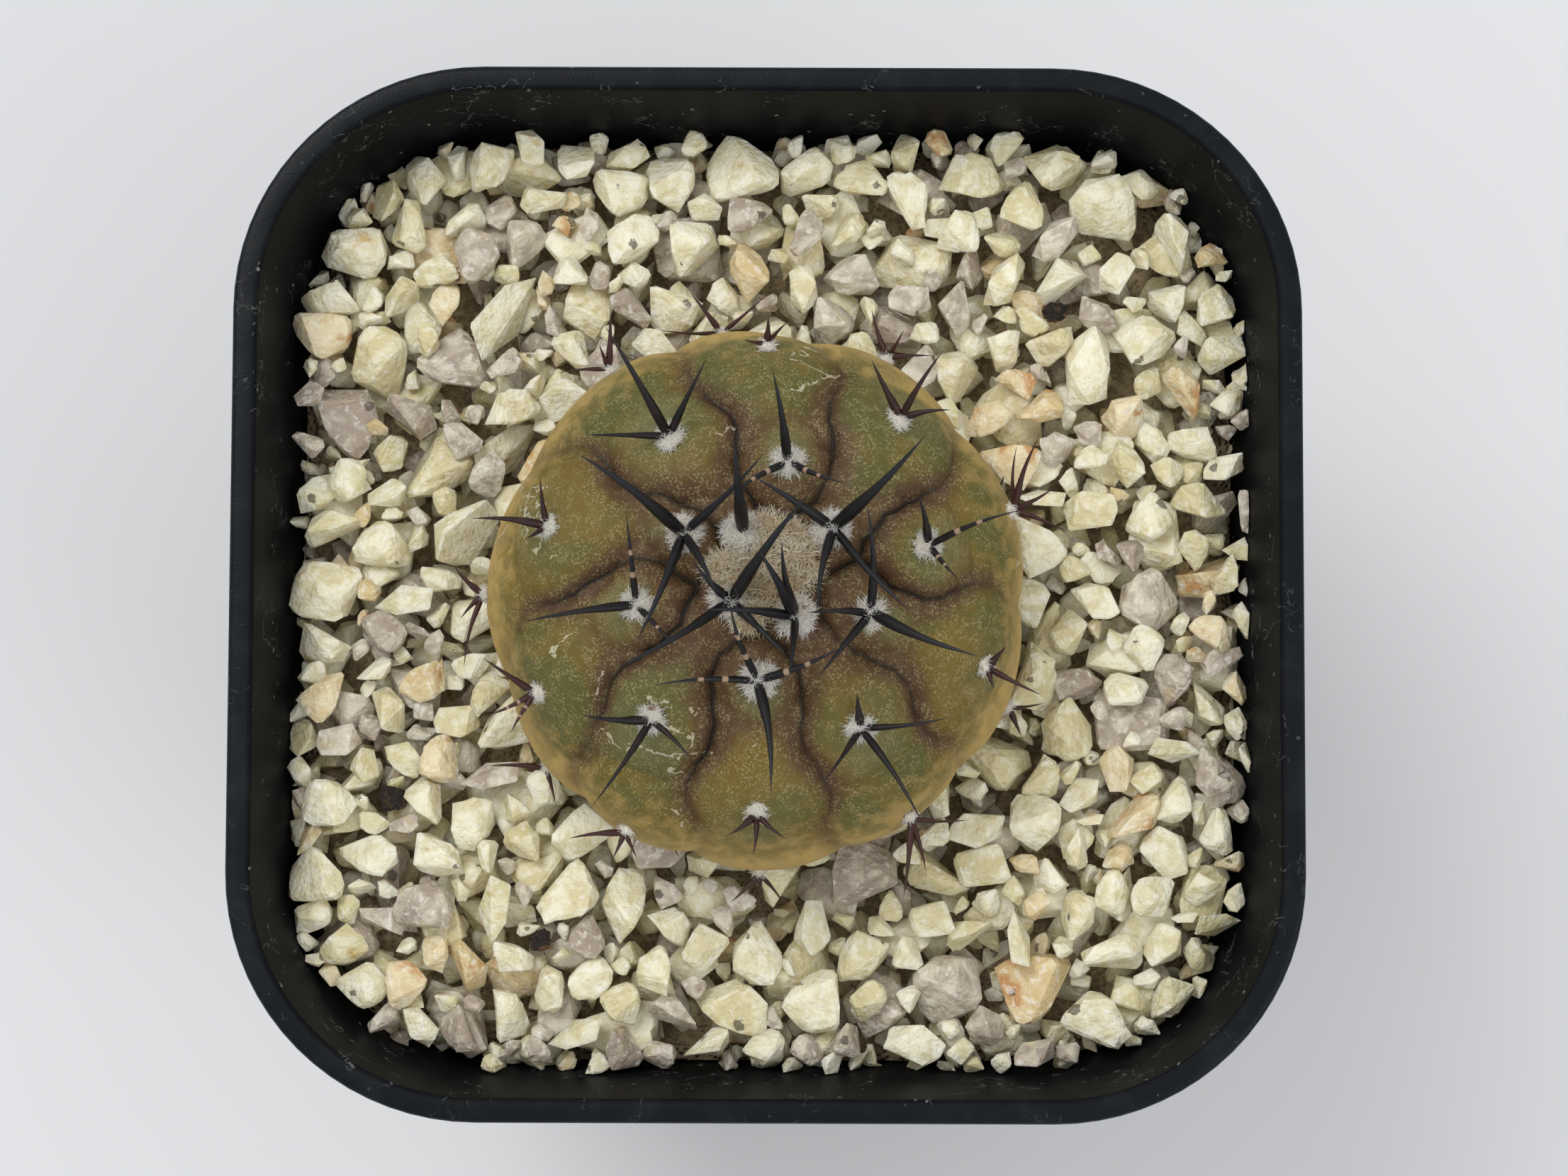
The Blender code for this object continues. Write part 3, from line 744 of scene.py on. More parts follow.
def apply_tree(mesh: bpy.types.Mesh, tree: bpy.types.NodeTree, values: dict,
               name: str) -> bpy.types.Mesh:
    """Run a geometry node tree on a mesh and keep the plain result.

    Args:
        mesh: The mesh that goes in.
        tree: The tree.
        values: Input label to value; each is set by its socket's identifier.
        name: Name for the new mesh.

    Returns:
        The evaluated mesh.
    """
    holder = bpy.data.objects.new(name + "_holder", mesh)
    bpy.context.scene.collection.objects.link(holder)
    modifier = holder.modifiers.new("build", "NODES")
    modifier.node_group = tree
    labels = {item.name: item.identifier for item in tree.interface.items_tree
              if item.in_out == "INPUT"}
    for label, value in values.items():
        modifier[labels[label]] = value
    graph = bpy.context.evaluated_depsgraph_get()
    result = bpy.data.meshes.new_from_object(holder.evaluated_get(graph), depsgraph=graph)
    result.name = name
    holder.modifiers.remove(modifier)
    bpy.data.objects.remove(holder, do_unlink=True)
    return result


def geometry_tree(name: str, inputs: tuple[tuple[str, str, object], ...]) -> tuple:
    """Start a geometry node tree with a mesh going in and a mesh coming out.

    Args:
        name: The tree's name.
        inputs: Label, socket type and default of each further input.

    Returns:
        The graph to build in, the input node and the output node.
    """
    tree = bpy.data.node_groups.new(name, "GeometryNodeTree")
    tree.interface.new_socket("Geometry", in_out="INPUT", socket_type="NodeSocketGeometry")
    for label, kind, default in inputs:
        socket = tree.interface.new_socket(label, in_out="INPUT", socket_type=kind)
        if default is not None:
            socket.default_value = default
    tree.interface.new_socket("Geometry", in_out="OUTPUT", socket_type="NodeSocketGeometry")
    graph = Graph(tree)
    return graph, graph.add("NodeGroupInput"), graph.add("NodeGroupOutput")


def close_tree(graph: Graph, source: bpy.types.Node, result: bpy.types.Node,
               geometry: bpy.types.NodeSocket) -> bpy.types.NodeTree:
    """End a tree in Realize Instances and Set Material, and return it."""
    real = graph.add("GeometryNodeRealizeInstances", {0: geometry})
    dressed = graph.add("GeometryNodeSetMaterial", {
        "Geometry": real.outputs[0], "Material": source.outputs["Material"]})
    graph.tree.links.new(dressed.outputs[0], result.inputs[0])
    return graph.tree


def spine_tree() -> bpy.types.NodeTree:
    """Edges with a thickness at each point become round, tapering spines."""
    graph, source, result = geometry_tree("grow_spines", (
        ("Sides", "NodeSocketInt", 8), ("Material", "NodeSocketMaterial", None)))
    curve = graph.add("GeometryNodeMeshToCurve", {0: source.outputs["Geometry"]})
    ring = graph.add("GeometryNodeCurvePrimitiveCircle", {
        "Resolution": source.outputs["Sides"], "Radius": 1.0}, mode="RADIUS")
    thick = graph.add("GeometryNodeInputNamedAttribute", {"Name": "thick"}, data_type="FLOAT")
    tube = graph.add("GeometryNodeCurveToMesh", {
        "Curve": curve.outputs[0], "Profile Curve": ring.outputs[0],
        "Scale": thick.outputs[0], "Fill Caps": True})
    smooth = graph.add("GeometryNodeSetShadeSmooth", {0: tube.outputs[0]})
    return close_tree(graph, source, result, smooth.outputs[0])


def wool_tree() -> bpy.types.NodeTree:
    """A pad is covered in short, bent, tapering hairs that stand up every way."""
    graph, source, result = geometry_tree("felt_hairs", (
        ("Density", "NodeSocketFloat", 1.0e7), ("Length", "NodeSocketFloat", 0.001),
        ("Thickness", "NodeSocketFloat", 0.00003), ("Lean", "NodeSocketFloat", 0.9),
        ("Seed", "NodeSocketInt", 1), ("Material", "NodeSocketMaterial", None)))
    spots = graph.add("GeometryNodeDistributePointsOnFaces", {
        "Mesh": source.outputs["Geometry"], "Density": source.outputs["Density"],
        "Seed": source.outputs["Seed"]}, distribute_method="RANDOM")
    hair = graph.add("GeometryNodeCurveQuadraticBezier", {
        "Resolution": 3, "Start": (0.0, 0.0, -0.1), "Middle": (0.0, 0.0, 0.6),
        "End": (0.45, 0.0, 1.0)})
    along = graph.add("GeometryNodeSplineParameter").outputs["Factor"]
    marked = graph.add("GeometryNodeStoreNamedAttribute", {
        "Geometry": hair.outputs[0], "Name": "along", "Value": along},
        data_type="FLOAT", domain="POINT")
    taper = graph.math("MULTIPLY_ADD", along, -0.75, 1.0)
    wide = graph.math("DIVIDE", source.outputs["Thickness"], source.outputs["Length"])
    ring = graph.add("GeometryNodeCurvePrimitiveCircle", {"Resolution": 3, "Radius": 1.0},
                     mode="RADIUS")
    strand = graph.add("GeometryNodeCurveToMesh", {
        "Curve": marked.outputs[0], "Profile Curve": ring.outputs[0],
        "Scale": graph.math("MULTIPLY", taper, wide), "Fill Caps": True})
    lean = graph.math("MULTIPLY", source.outputs["Lean"], -1.0)
    low = graph.add("ShaderNodeCombineXYZ", {0: lean, 1: lean, 2: -math.pi})
    high = graph.add("ShaderNodeCombineXYZ", {
        0: source.outputs["Lean"], 1: source.outputs["Lean"], 2: math.pi})
    turn = graph.add("FunctionNodeRandomValue", {
        0: low.outputs[0], 1: high.outputs[0], "Seed": source.outputs["Seed"]},
        data_type="FLOAT_VECTOR")
    swing = graph.add("FunctionNodeEulerToRotation", {0: turn.outputs[0]})
    aim = graph.add("FunctionNodeRotateRotation", {
        0: spots.outputs["Rotation"], 1: swing.outputs[0]}, rotation_space="LOCAL")
    size = graph.add("FunctionNodeRandomValue", {
        2: 0.45, 3: 1.15, "Seed": 7}, data_type="FLOAT")
    long = graph.math("MULTIPLY", size.outputs[1], source.outputs["Length"])
    hairs = graph.add("GeometryNodeInstanceOnPoints", {
        "Points": spots.outputs["Points"], "Instance": strand.outputs[0],
        "Rotation": aim.outputs[0], "Scale": long})
    both = graph.add("GeometryNodeJoinGeometry")
    graph.tree.links.new(source.outputs["Geometry"], both.inputs[0])
    graph.tree.links.new(hairs.outputs[0], both.inputs[0])
    smooth = graph.add("GeometryNodeSetShadeSmooth", {0: both.outputs[0]})
    return close_tree(graph, source, result, smooth.outputs[0])


def stone_tree() -> bpy.types.NodeTree:
    """Each point becomes one stone of a set, with its own turn and size."""
    graph, source, result = geometry_tree("lay_stones", (
        ("Stones", "NodeSocketCollection", None), ("Material", "NodeSocketMaterial", None)))
    models = graph.add("GeometryNodeCollectionInfo", {
        "Collection": source.outputs["Stones"], "Separate Children": True,
        "Reset Children": True})
    turn = graph.add("GeometryNodeInputNamedAttribute", {"Name": "turn"},
                     data_type="FLOAT_VECTOR")
    size = graph.add("GeometryNodeInputNamedAttribute", {"Name": "size"},
                     data_type="FLOAT_VECTOR")
    model = graph.add("GeometryNodeInputNamedAttribute", {"Name": "model"}, data_type="INT")
    points = graph.add("GeometryNodeMeshToPoints", {0: source.outputs["Geometry"]})
    swing = graph.add("FunctionNodeEulerToRotation", {0: turn.outputs[0]})
    stones = graph.add("GeometryNodeInstanceOnPoints", {
        "Points": points.outputs[0], "Instance": models.outputs[0], "Pick Instance": True,
        "Instance Index": model.outputs[0], "Rotation": swing.outputs[0],
        "Scale": size.outputs[0]})
    return close_tree(graph, source, result, stones.outputs[0])


# ---------------------------------------------------------------- the plant


@dataclass(frozen=True)
class Areole:
    """A felt pad on the skin and the spines that grow from it."""

    rib: int
    bearing: float
    slope: float
    stout: float
    spines: tuple[tuple[float, float, float], ...]
    banded: bool = False


RIBS = (
    ((11, 37, 0.75, ((104, 3.9, 3.5), (21, 7.6, 4.0), (309, 3.3, 2.5))),
     (17, 77, 0.6, ((72, 6.0, 2.5), (88, 5.0, 1.0), (29, 3.4, 1.5), (337, 4.5, 0.5))),
     (22, 108, 0.45, ((70, 2.0, 1.0), (330, 2.0, 0.5)))),
    ((36, 17, 1.3, ((45, 9.9, 8.0), (259, 6.8, 6.0), (312, 9.0, 5.6), (148, 7.1, 3.5))),
     (51, 52, 0.8, ((118, 5.0, 2.0), (58, 6.0, 3.0), (8, 3.8, 1.5))),
     (63, 88, 0.55, ((108, 4.0, 0.0), (3, 3.5, 0.0), (60, 2.4, 1.5)))),
    ((81, 25, 0.85, ((100, 7.1, 5.0), (212, 5.4, 3.4), (338, 4.6, 3.5))),
     (91, 63, 0.55, ((87, 1.9, 1.4), (172, 1.6, 1.2), (45, 2.2, 1.4))),
     (101, 96, 0.5, ((128, 4.0, 0.5), (40, 4.6, 1.0), (178, 5.0, 1.0)))),
    ((123, 10, 1.3, ((95, 6.9, 9.0),)),
     (126, 38, 0.9, ((120, 9.7, 6.0), (63, 6.6, 3.5), (180, 6.5, 1.5))),
     (127, 82, 0.55, ((88, 4.8, 1.0), (111, 1.8, 1.2), (185, 3.8, 0.5)))),
    ((155, 19, 1.3, ((143, 10.0, 8.0), (248, 9.3, 5.0), (299, 5.8, 7.6), (44, 8.8, 5.0))),
     (167, 52, 0.75, ((175, 5.6, 2.0), (96, 3.7, 2.0), (215, 1.6, 1.3))),
     (182, 88, 0.55, ((135, 3.1, 0.5), (257, 6.0, 1.0), (228, 2.4, 0.0)))),
    ((193, 27, 0.8, ((189, 8.7, 3.0), (95, 7.2, 4.5), (315, 4.3, 3.0))),
     (206, 61, 0.6, ((145, 4.7, 1.5), (206, 4.0, 0.8), (240, 3.5, 0.5))),
     (219, 99, 0.5, ((178, 4.6, 0.5), (285, 3.0, 0.3)))),
    ((216, 9, 1.3, ((54, 10.2, 7.5), (211, 10.2, 6.5), (316, 5.9, 3.0), (133, 4.0, 2.8))),
     (231, 38, 0.8, ((175, 5.4, 1.5), (236, 7.9, 3.5), (317, 4.2, 2.0))),
     (240, 77, 0.55, ((186, 4.3, 0.5), (246, 2.0, 0.3), (297, 2.0, 0.5)))),
    ((264, 21, 1.0, ((277, 8.6, 4.5), (182, 7.9, 3.0), (109, 6.7, 6.4), (23, 7.3, 3.5))),
     (267, 53, 0.6, ((215, 2.5, 1.0), (265, 2.9, 1.4), (322, 2.8, 1.0))),
     (268, 94, 0.5, ((225, 3.0, 0.5), (310, 3.0, 0.5), (268, 2.0, 0.2)))),
    ((301, 10, 1.2, ((119, 5.8, 8.0), (101, 5.8, 6.5), (176, 7.2, 5.0), (264, 4.5, 6.5))),
     (301, 38, 0.85, ((97, 2.6, 2.2), (8, 6.9, 2.5), (234, 5.1, 3.0), (303, 8.7, 4.5))),
     (301, 77, 0.6, ((264, 6.1, 0.8), (286, 4.1, 0.2), (0, 4.3, 0.8)))),
    ((339, 23, 1.1, ((338, 8.8, 5.0), (93, 8.6, 4.4), (180, 4.9, 4.0), (230, 6.6, 3.5))),
     (338, 59, 0.65, ((51, 2.0, 1.2), (333, 4.5, 2.0), (285, 1.5, 1.0))),
     (333, 92, 0.5, ((293, 2.2, 0.3), (10, 2.6, 0.5)))),
)
LOW_AREOLES = ((1, 66, 116), (2, 103, 120), (3, 129, 113), (4, 193, 118), (6, 247, 112),
               (8, 301, 112))
BANDED = ((0, 0), (2, 0), (5, 0), (5, 1), (7, 0))


@dataclass(frozen=True)
class Ramp:
    """Values that change in straight lines with the slope on the plant, in degrees."""

    slopes: tuple[float, ...]
    values: tuple[float, ...]

    def at(self, degrees: np.ndarray) -> np.ndarray:
        """The value at each slope."""
        return np.interp(degrees, self.slopes, self.values)


FURROW_STRENGTH = Ramp((0, 5, 13, 36, 56, 72, 88, 108, 128, 140),
                       (0.0, 0.3, 0.95, 1.0, 0.62, 0.28, 0.22, 0.55, 0.4, 0.0))
NOTCH_STRENGTH = Ramp((8, 20, 45, 70), (0.0, 1.0, 0.8, 0.0))
DOME_STRENGTH = Ramp((0, 8, 20, 45, 80, 130), (0.0, 0.35, 1.0, 1.0, 0.55, 0.2))
FLUTE_STRENGTH = Ramp((50, 78, 94, 112, 135), (0.0, 0.35, 0.4, 1.0, 0.0))
# How strongly the painted furrow shade shows at each slope.
FURROW_SHADE_STRENGTH = Ramp((0, 48, 74, 88, 110, 135), (1.0, 1.0, 0.3, 0.3, 0.6, 0.0))

# Half widths and depths of the skin's relief.
FURROW_WIDTH, FURROW_DEPTH = 0.0013, 0.00062
SLIT_WIDTH, SLIT_DEPTH = 0.00030, 0.00046
NOTCH_WIDTH, NOTCH_DEPTH = 0.0011, 0.00022
FLUTE_WIDTH, FLUTE_DEPTH = 0.0026, 0.0006
PIT_WIDTH, PIT_DEPTH = 0.0009, 0.00018
DOME_HEIGHT, DOME_SHARPNESS = 0.00105, 2.2
WANDER_CELL, WANDER = 0.0065, 0.0006
# Half width of the purple band beside each furrow, which is painted shade.
FLUSH_AND_SHADE_WIDTH = 0.0014


def bell(distance: np.ndarray, width: float) -> np.ndarray:
    """1 in the middle, falling to nothing over a width."""
    return np.exp(-(distance / width) ** 2)


def all_areoles() -> list[Areole]:
    """Every areole in the order of the CAD nodes: rib by rib, then the low ones."""
    found = []
    for number, rib in enumerate(RIBS):
        for rank, (bearing, slope, stout, spines) in enumerate(rib):
            found.append(Areole(number, bearing, slope, stout, spines,
                                (number, rank) in BANDED))
    for number, bearing, slope in LOW_AREOLES:
        short = tuple((bearing + turn, 1.8, rise) for turn, rise in ((-50, 0.8), (55, 0.5)))
        found.append(Areole(number, bearing, slope, 0.4, short))
    return found


@dataclass
class Plant:
    """The grown body, its felt pads, its spines and the wool in its crown."""

    gravel_top: float
    radius: float = 0.0227
    centre: tuple[float, float] = (-0.00075, -0.00075)
    crown: tuple[float, float] = (0.0003, 0.00035)
    widest_above_gravel: float = 0.0105
    crown_height: float = 0.0145
    belly_depth: float = 0.0158
    crown_dip: float = 0.0009
    neck_radius: float = 0.0065
    taproot_radius: float = 0.0085
    taproot_length: float = 0.034
    turns: int = 560
    spine_radius: float = 0.00047
    pad_radius: float = 0.00100
    forward_lean: float = 0.07
    areoles: list[Areole] = field(default_factory=all_areoles)

    @property
    def widest_z(self) -> float:
        """Height of the widest ring."""
        return self.gravel_top + self.widest_above_gravel

    def reach(self, bearing: np.ndarray) -> np.ndarray:
        """Plan distance from the crown to the widest ring along each bearing."""
        offset = np.subtract(self.centre, self.crown)
        along = np.cos(bearing) * offset[0] + np.sin(bearing) * offset[1]
        return along + np.sqrt(self.radius ** 2 - offset @ offset + along ** 2)

    def smooth_skin(self, bearing: object, slope: object) -> tuple[np.ndarray, np.ndarray]:
        """The body without ribs.

        Args:
            bearing, slope: Angles in radians, numbers or arrays of one shape.

        Returns:
            The points and their outward directions.
        """
        bearing, slope = np.broadcast_arrays(np.asarray(bearing, float),
                                             np.asarray(slope, float))
        share = np.sin(slope)
        distance = share * self.reach(bearing)
        above = slope < math.pi / 2
        tall = np.where(above, self.crown_height, self.belly_depth)
        dip = np.where(above, self.crown_dip * np.exp(-(share / 0.16) ** 2), 0.0)
        points = np.stack((self.crown[0] + np.cos(bearing) * distance,
                           self.crown[1] + np.sin(bearing) * distance,
                           self.widest_z + tall * np.cos(slope) - dip), axis=-1)
        out = np.stack((np.cos(bearing) * share / self.radius,
                        np.sin(bearing) * share / self.radius,
                        np.cos(slope) / tall), axis=-1)
        return points, out / np.linalg.norm(out, axis=-1, keepdims=True)

    def seat(self, areole: Areole) -> tuple[Vector, Vector]:
        """Where an areole sits on the skin, and which way it faces."""
        point, out = self.smooth_skin(math.radians(areole.bearing),
                                      math.radians(areole.slope))
        return Vector(point), Vector(out)

    def relief(self, bearing: np.ndarray, slope: np.ndarray) -> tuple[np.ndarray, dict]:
        """Tubercles round the areoles and the furrows between them.

        Args:
            bearing, slope: Angles of the skin's vertices, in radians.

        Returns:
            How far each vertex moves along its normal, and the named skin attributes.
        """
        points, _ = self.smooth_skin(bearing, slope)
        wander = np.array([noise.noise_vector(Vector(p) / WANDER_CELL) for p in points])
        points = points + np.array(wander) * WANDER
        degrees = np.degrees(slope)
        edge = self.furrow_distance(points)
        own, middle, share, fold = self.pad_distances(points)

        strength = FURROW_STRENGTH.at(degrees)
        strength = strength * (0.8 + 0.4 * np.array([noise.noise(Vector(p) / 0.006)
                                                     for p in points]))
        notch = bell(fold, NOTCH_WIDTH) * NOTCH_STRENGTH.at(degrees)
        low = DOME_STRENGTH.at(degrees) * DOME_HEIGHT * share ** DOME_SHARPNESS
        flute = bell(edge, FLUTE_WIDTH) * FLUTE_STRENGTH.at(degrees)
        furrow = (FURROW_DEPTH * bell(edge, FURROW_WIDTH)
                  + SLIT_DEPTH * bell(edge, SLIT_WIDTH))
        lift = (-strength * furrow - FLUTE_DEPTH * flute - NOTCH_DEPTH * notch - low
                - PIT_DEPTH * bell(middle, PIT_WIDTH))

        # The purple flush: painted shade beside the furrows and notches, and the skin's own tint towards
        # the crown.
        flush_and_shade = (0.95 * bell(edge, FLUSH_AND_SHADE_WIDTH) * np.sqrt(strength + 0.03) + 0.4 * notch
                 + bell(degrees, 18.0) + 0.34 * np.clip((54.0 - degrees) / 40.0, 0, 1))
        # Strength of the painted shade laid into the furrows.
        furrow_shade = np.clip(1.15 * strength ** 0.8, 0, 1) * FURROW_SHADE_STRENGTH.at(degrees)
        tints = np.random.default_rng(5).uniform(0.0, 0.5, len(self.areoles))
        marks = {"flush_and_shade": np.clip(flush_and_shade, 0, 1), "furrow_shade": furrow_shade,
                 "bloom": self.bloom(points, own), "edge": edge / MM,
                 "shoulder": np.clip((degrees - 50.0) / 36.0, 0, 1),
                 "cork": np.clip((degrees - 92.0) / 34.0, 0, 1), "tint": tints[own]}
        return lift, marks

    def furrow_distance(self, points: np.ndarray) -> np.ndarray:
        """Distance of each point from the furrow between its own rib and the next.

        Args:
            points: Places on the skin.

        Returns:
            The distances.
        """
        rows = np.arange(len(points))
        seats, ribs, weights = self.rib_spots()
        away = np.linalg.norm(points[:, None, :] - seats[None], axis=2) / weights
        by_rib = np.stack([away[:, ribs == rib].min(axis=1) for rib in range(len(RIBS))], 1)
        width = np.stack([weights[ribs == rib][away[:, ribs == rib].argmin(axis=1)]
                          for rib in range(len(RIBS))], 1)
        order = np.argsort(by_rib, axis=1)
        first, second = order[:, 0], order[:, 1]
        near, far = width[rows, first], width[rows, second]
        gap = by_rib[rows, second] - by_rib[rows, first]
        return gap * near * far / (near + far)

    def pad_distances(self, points: np.ndarray) -> tuple[np.ndarray, ...]:
        """How each point lies between the nearest areoles.

        Args:
            points: Places on the skin.

        Returns:
            The number of the nearest areole, the distance from its middle, the share of the
            way to the next one, and the distance from the fold between the two.
        """
        rows = np.arange(len(points))
        pads, sizes = self.pad_spots()
        near = np.linalg.norm(points[:, None, :] - pads[None], axis=2) / sizes
        rank = np.argsort(near, axis=1)
        own, other = rank[:, 0], rank[:, 1]
        least, next_least = near[rows, own], near[rows, other]
        both = np.maximum(least + next_least, 1e-9)
        share = np.clip(2.0 * least / both, 0.0, 1.0)
        fold = (next_least - least) * sizes[own] * sizes[other] / (sizes[own] + sizes[other])
        return own, least * sizes[own], share, fold

    def pad_spots(self) -> tuple[np.ndarray, np.ndarray]:
        """Places of all areoles and the reach of each one's dome."""
        pads = np.array([self.seat(a)[0] for a in self.areoles])
        sizes = np.array([min(max(a.slope, 14.0), 50.0) ** 0.7 for a in self.areoles])
        return pads, sizes

    def bloom(self, points: np.ndarray, own: np.ndarray) -> np.ndarray:
        """A pale patch just outside each areole.

        Args:
            points: Places on the skin.
            own: The number of each place's nearest areole.

        Returns:
            The strength of the patch at each place.
        """
        pads, sizes = self.pad_spots()
        out = pads[own] - np.array([self.crown[0], self.crown[1], 0.0])
        out[:, 2] = 0.0
        out /= np.linalg.norm(out, axis=1, keepdims=True)
        beyond = points - (pads[own] + out * (0.00022 * sizes[own])[:, None])
        return bell(np.linalg.norm(beyond, axis=1), 0.00027 * sizes[own])

    def rib_spots(self) -> tuple[np.ndarray, np.ndarray, np.ndarray]:
        """Places down the middle of each rib, wide at the areoles and narrow between them.

        Returns:
            The places, the rib each belongs to, and how far its hold reaches.
        """
        places, ribs, weights = [], [], []
        for number in range(len(RIBS)):
            line = sorted((a for a in self.areoles if a.rib == number),
                          key=lambda a: a.slope)
            for upper, lower in zip(line, line[1:] + line[-1:]):
                turn = (lower.bearing - upper.bearing + 180) % 360 - 180
                for share in (0.0, 0.25, 0.5, 0.75):
                    slope = upper.slope + (lower.slope - upper.slope) * share
                    bearing = upper.bearing + turn * share
                    point, _ = self.smooth_skin(math.radians(bearing), math.radians(slope))
                    places.append(point)
                    ribs.append(number)
                    hold = min(max(slope, 12.0), 60.0) ** 0.55
                    weights.append(hold * (1.0 - 0.26 * math.sin(math.pi * share)))
        return np.array(places), np.array(ribs), np.array(weights)

    def build_stem(self, material: bpy.types.Material) -> bpy.types.Object:
        """The whole grown body: ribbed skin, belly, neck and taproot.

        Args:
            material: The skin's material.

        Returns:
            The stem piece.
        """
        slopes = np.radians(np.concatenate((np.linspace(0.6, 62, 116),
                                            np.linspace(63.2, 132, 46))))
        turn = np.arange(self.turns) * math.tau / self.turns
        slope_grid, turn_grid = np.meshgrid(slopes, turn, indexing="ij")
        bearing, slope = turn_grid.ravel(), slope_grid.ravel()
        points, out = self.smooth_skin(bearing, slope)
        lift, marks = self.relief(bearing, slope)
        rings = [points + out * lift[:, None]]
        root_top = self.widest_z - self.belly_depth - 0.001
        profile = [(root_top + 0.0022, self.neck_radius * 1.25), (root_top, self.neck_radius)]
        for share, wide in ((0.2, 1.0), (0.5, 0.8), (0.8, 0.4), (1.0, 0.12)):
            profile.append((root_top - self.taproot_length * share,
                            self.taproot_radius * wide))
        for z, wide in profile:
            rings.append(np.stack((self.centre[0] + wide * np.cos(turn),
                                   self.centre[1] + wide * np.sin(turn),
                                   np.full(self.turns, z)), axis=-1))
        points = np.concatenate(rings)[::-1]
        rows = len(slopes) + len(profile)
        mesh = mesh_from("stem", points, [tuple(reversed(f)) for f in
                                          loft_faces(rows, self.turns)])
        spare = len(points) - len(bearing)
        for name, values in marks.items():
            add_values(mesh, name, np.concatenate((values, np.zeros(spare)))[::-1])
        return finish_piece("stem", mesh, material, ("cactus_stem",))

    def spine_lines(self, areole: Areole, seed: int) -> bpy.types.Mesh:
        """Middle lines of one areole's spines, with thickness, age and band values.

        Args:
            areole: The areole.
            seed: Seed for the small bends.

        Returns:
            A mesh of edges, one chain for each spine.
        """
        dice = random.Random(seed)
        start, out = self.seat(areole)
        points, edges, thick, along, age, band = [], [], [], [], [], []
        count = 12
        old = min(1.0, max(0.0, (areole.slope - 20.0) / 45.0))
        for number, (turn, run, rise) in enumerate(areole.spines):
            way = Vector((math.cos(math.radians(turn)), math.sin(math.radians(turn)), 0.0))
            side = Vector((-way.y, way.x, 0.0)) * run * MM * dice.uniform(-0.05, 0.05)
            base = start + out * 0.0003 + way * 0.0003
            stout = 1.0 if number == 0 else dice.uniform(0.66, 0.84)
            radius = self.spine_radius * (0.25 + 0.75 * areole.stout) * stout
            run = run * (1.0 - 0.004 * rise)
            ringed = 1.0 if areole.banded and number != 0 else 0.0
            for step in range(count):
                share = step / (count - 1)
                up = rise * MM * (1.35 * share - 0.35 * share ** 2)
                bend = side * math.sin(share * math.pi)
                lean = Vector((0.0, -self.forward_lean * rise * MM * share, up))
                points.append(base + way * (run * MM * share) + lean + bend)
                swell = 0.86 + 0.2 * math.sin(min(share / 0.4, 1.0) * math.pi)
                thick.append(radius * swell * max(0.03, (1.0 - share ** 1.25) ** 0.85))
                along.append(share)
                age.append(old)
                band.append(ringed)
                if step:
                    edges.append((len(points) - 2, len(points) - 1))
        mesh = mesh_from("spine_lines", points, [], edges)
        for name, values in (("thick", thick), ("along", along), ("age", age),
                             ("band", band)):
            add_values(mesh, name, values)
        return mesh

    def pad_mesh(self, seat: Vector, out: Vector, radius: float, height: float,
                 seed: int) -> bpy.types.Mesh:
        """A low, uneven felt cushion on the skin.

        Args:
            seat, out: Its place and the way it faces.
            radius, height: Its size.
            seed: Seed for its uneven outline.

        Returns:
            A closed mesh.
        """
        dice = random.Random(seed)
        side = out.orthogonal().normalized()
        other = out.cross(side)
        count = 14
        swing = [dice.uniform(0.78, 1.15) for _ in range(count)]
        points = []
        for share, tall in ((0.8, -0.35), (1.0, 0.0), (0.85, 0.55), (0.45, 0.9), (0.1, 1.0)):
            for i in range(count):
                angle = math.tau * i / count
                arm = side * math.cos(angle) + other * math.sin(angle)
                wide = radius * share * (swing[i] if share > 0.3 else 1.0)
                points.append(seat + arm * wide + out * (height * tall))
        return mesh_from("pad", points, loft_faces(5, count))

    def build_spines(self, material: bpy.types.Material) -> None:
        """One piece of spines for each areole, in place of its CAD node."""
        tree = spine_tree()
        for number, areole in enumerate(self.areoles, start=1):
            lines = self.spine_lines(areole, number)
            mesh = apply_tree(lines, tree, {"Sides": 8, "Material": material},
                              f"spines_{number:02d}")
            finish_piece(f"spines_{number:02d}", mesh, material,
                         (f"spine_cluster_{number:02d}",))

    def build_pads(self, material: bpy.types.Material) -> None:
        """A tuft of white felt under each group of spines."""
        tree = wool_tree()
        for number, areole in enumerate(self.areoles, start=1):
            seat, out = self.seat(areole)
            young = min(1.0, max(0.0, (70.0 - areole.slope) / 60.0))
            radius = self.pad_radius * (0.58 + 0.88 * young)
            pad = self.pad_mesh(seat, out, radius, 0.0005, number)
            mesh = apply_tree(pad, tree, {
                "Density": 1.3e8 * (0.6 + 0.4 * young), "Length": 0.0005 + 0.0003 * young,
                "Thickness": 0.00003, "Lean": 1.3, "Seed": number, "Material": material},
                f"felt_{number:02d}")
            finish_piece(f"felt_{number:02d}", mesh, material)

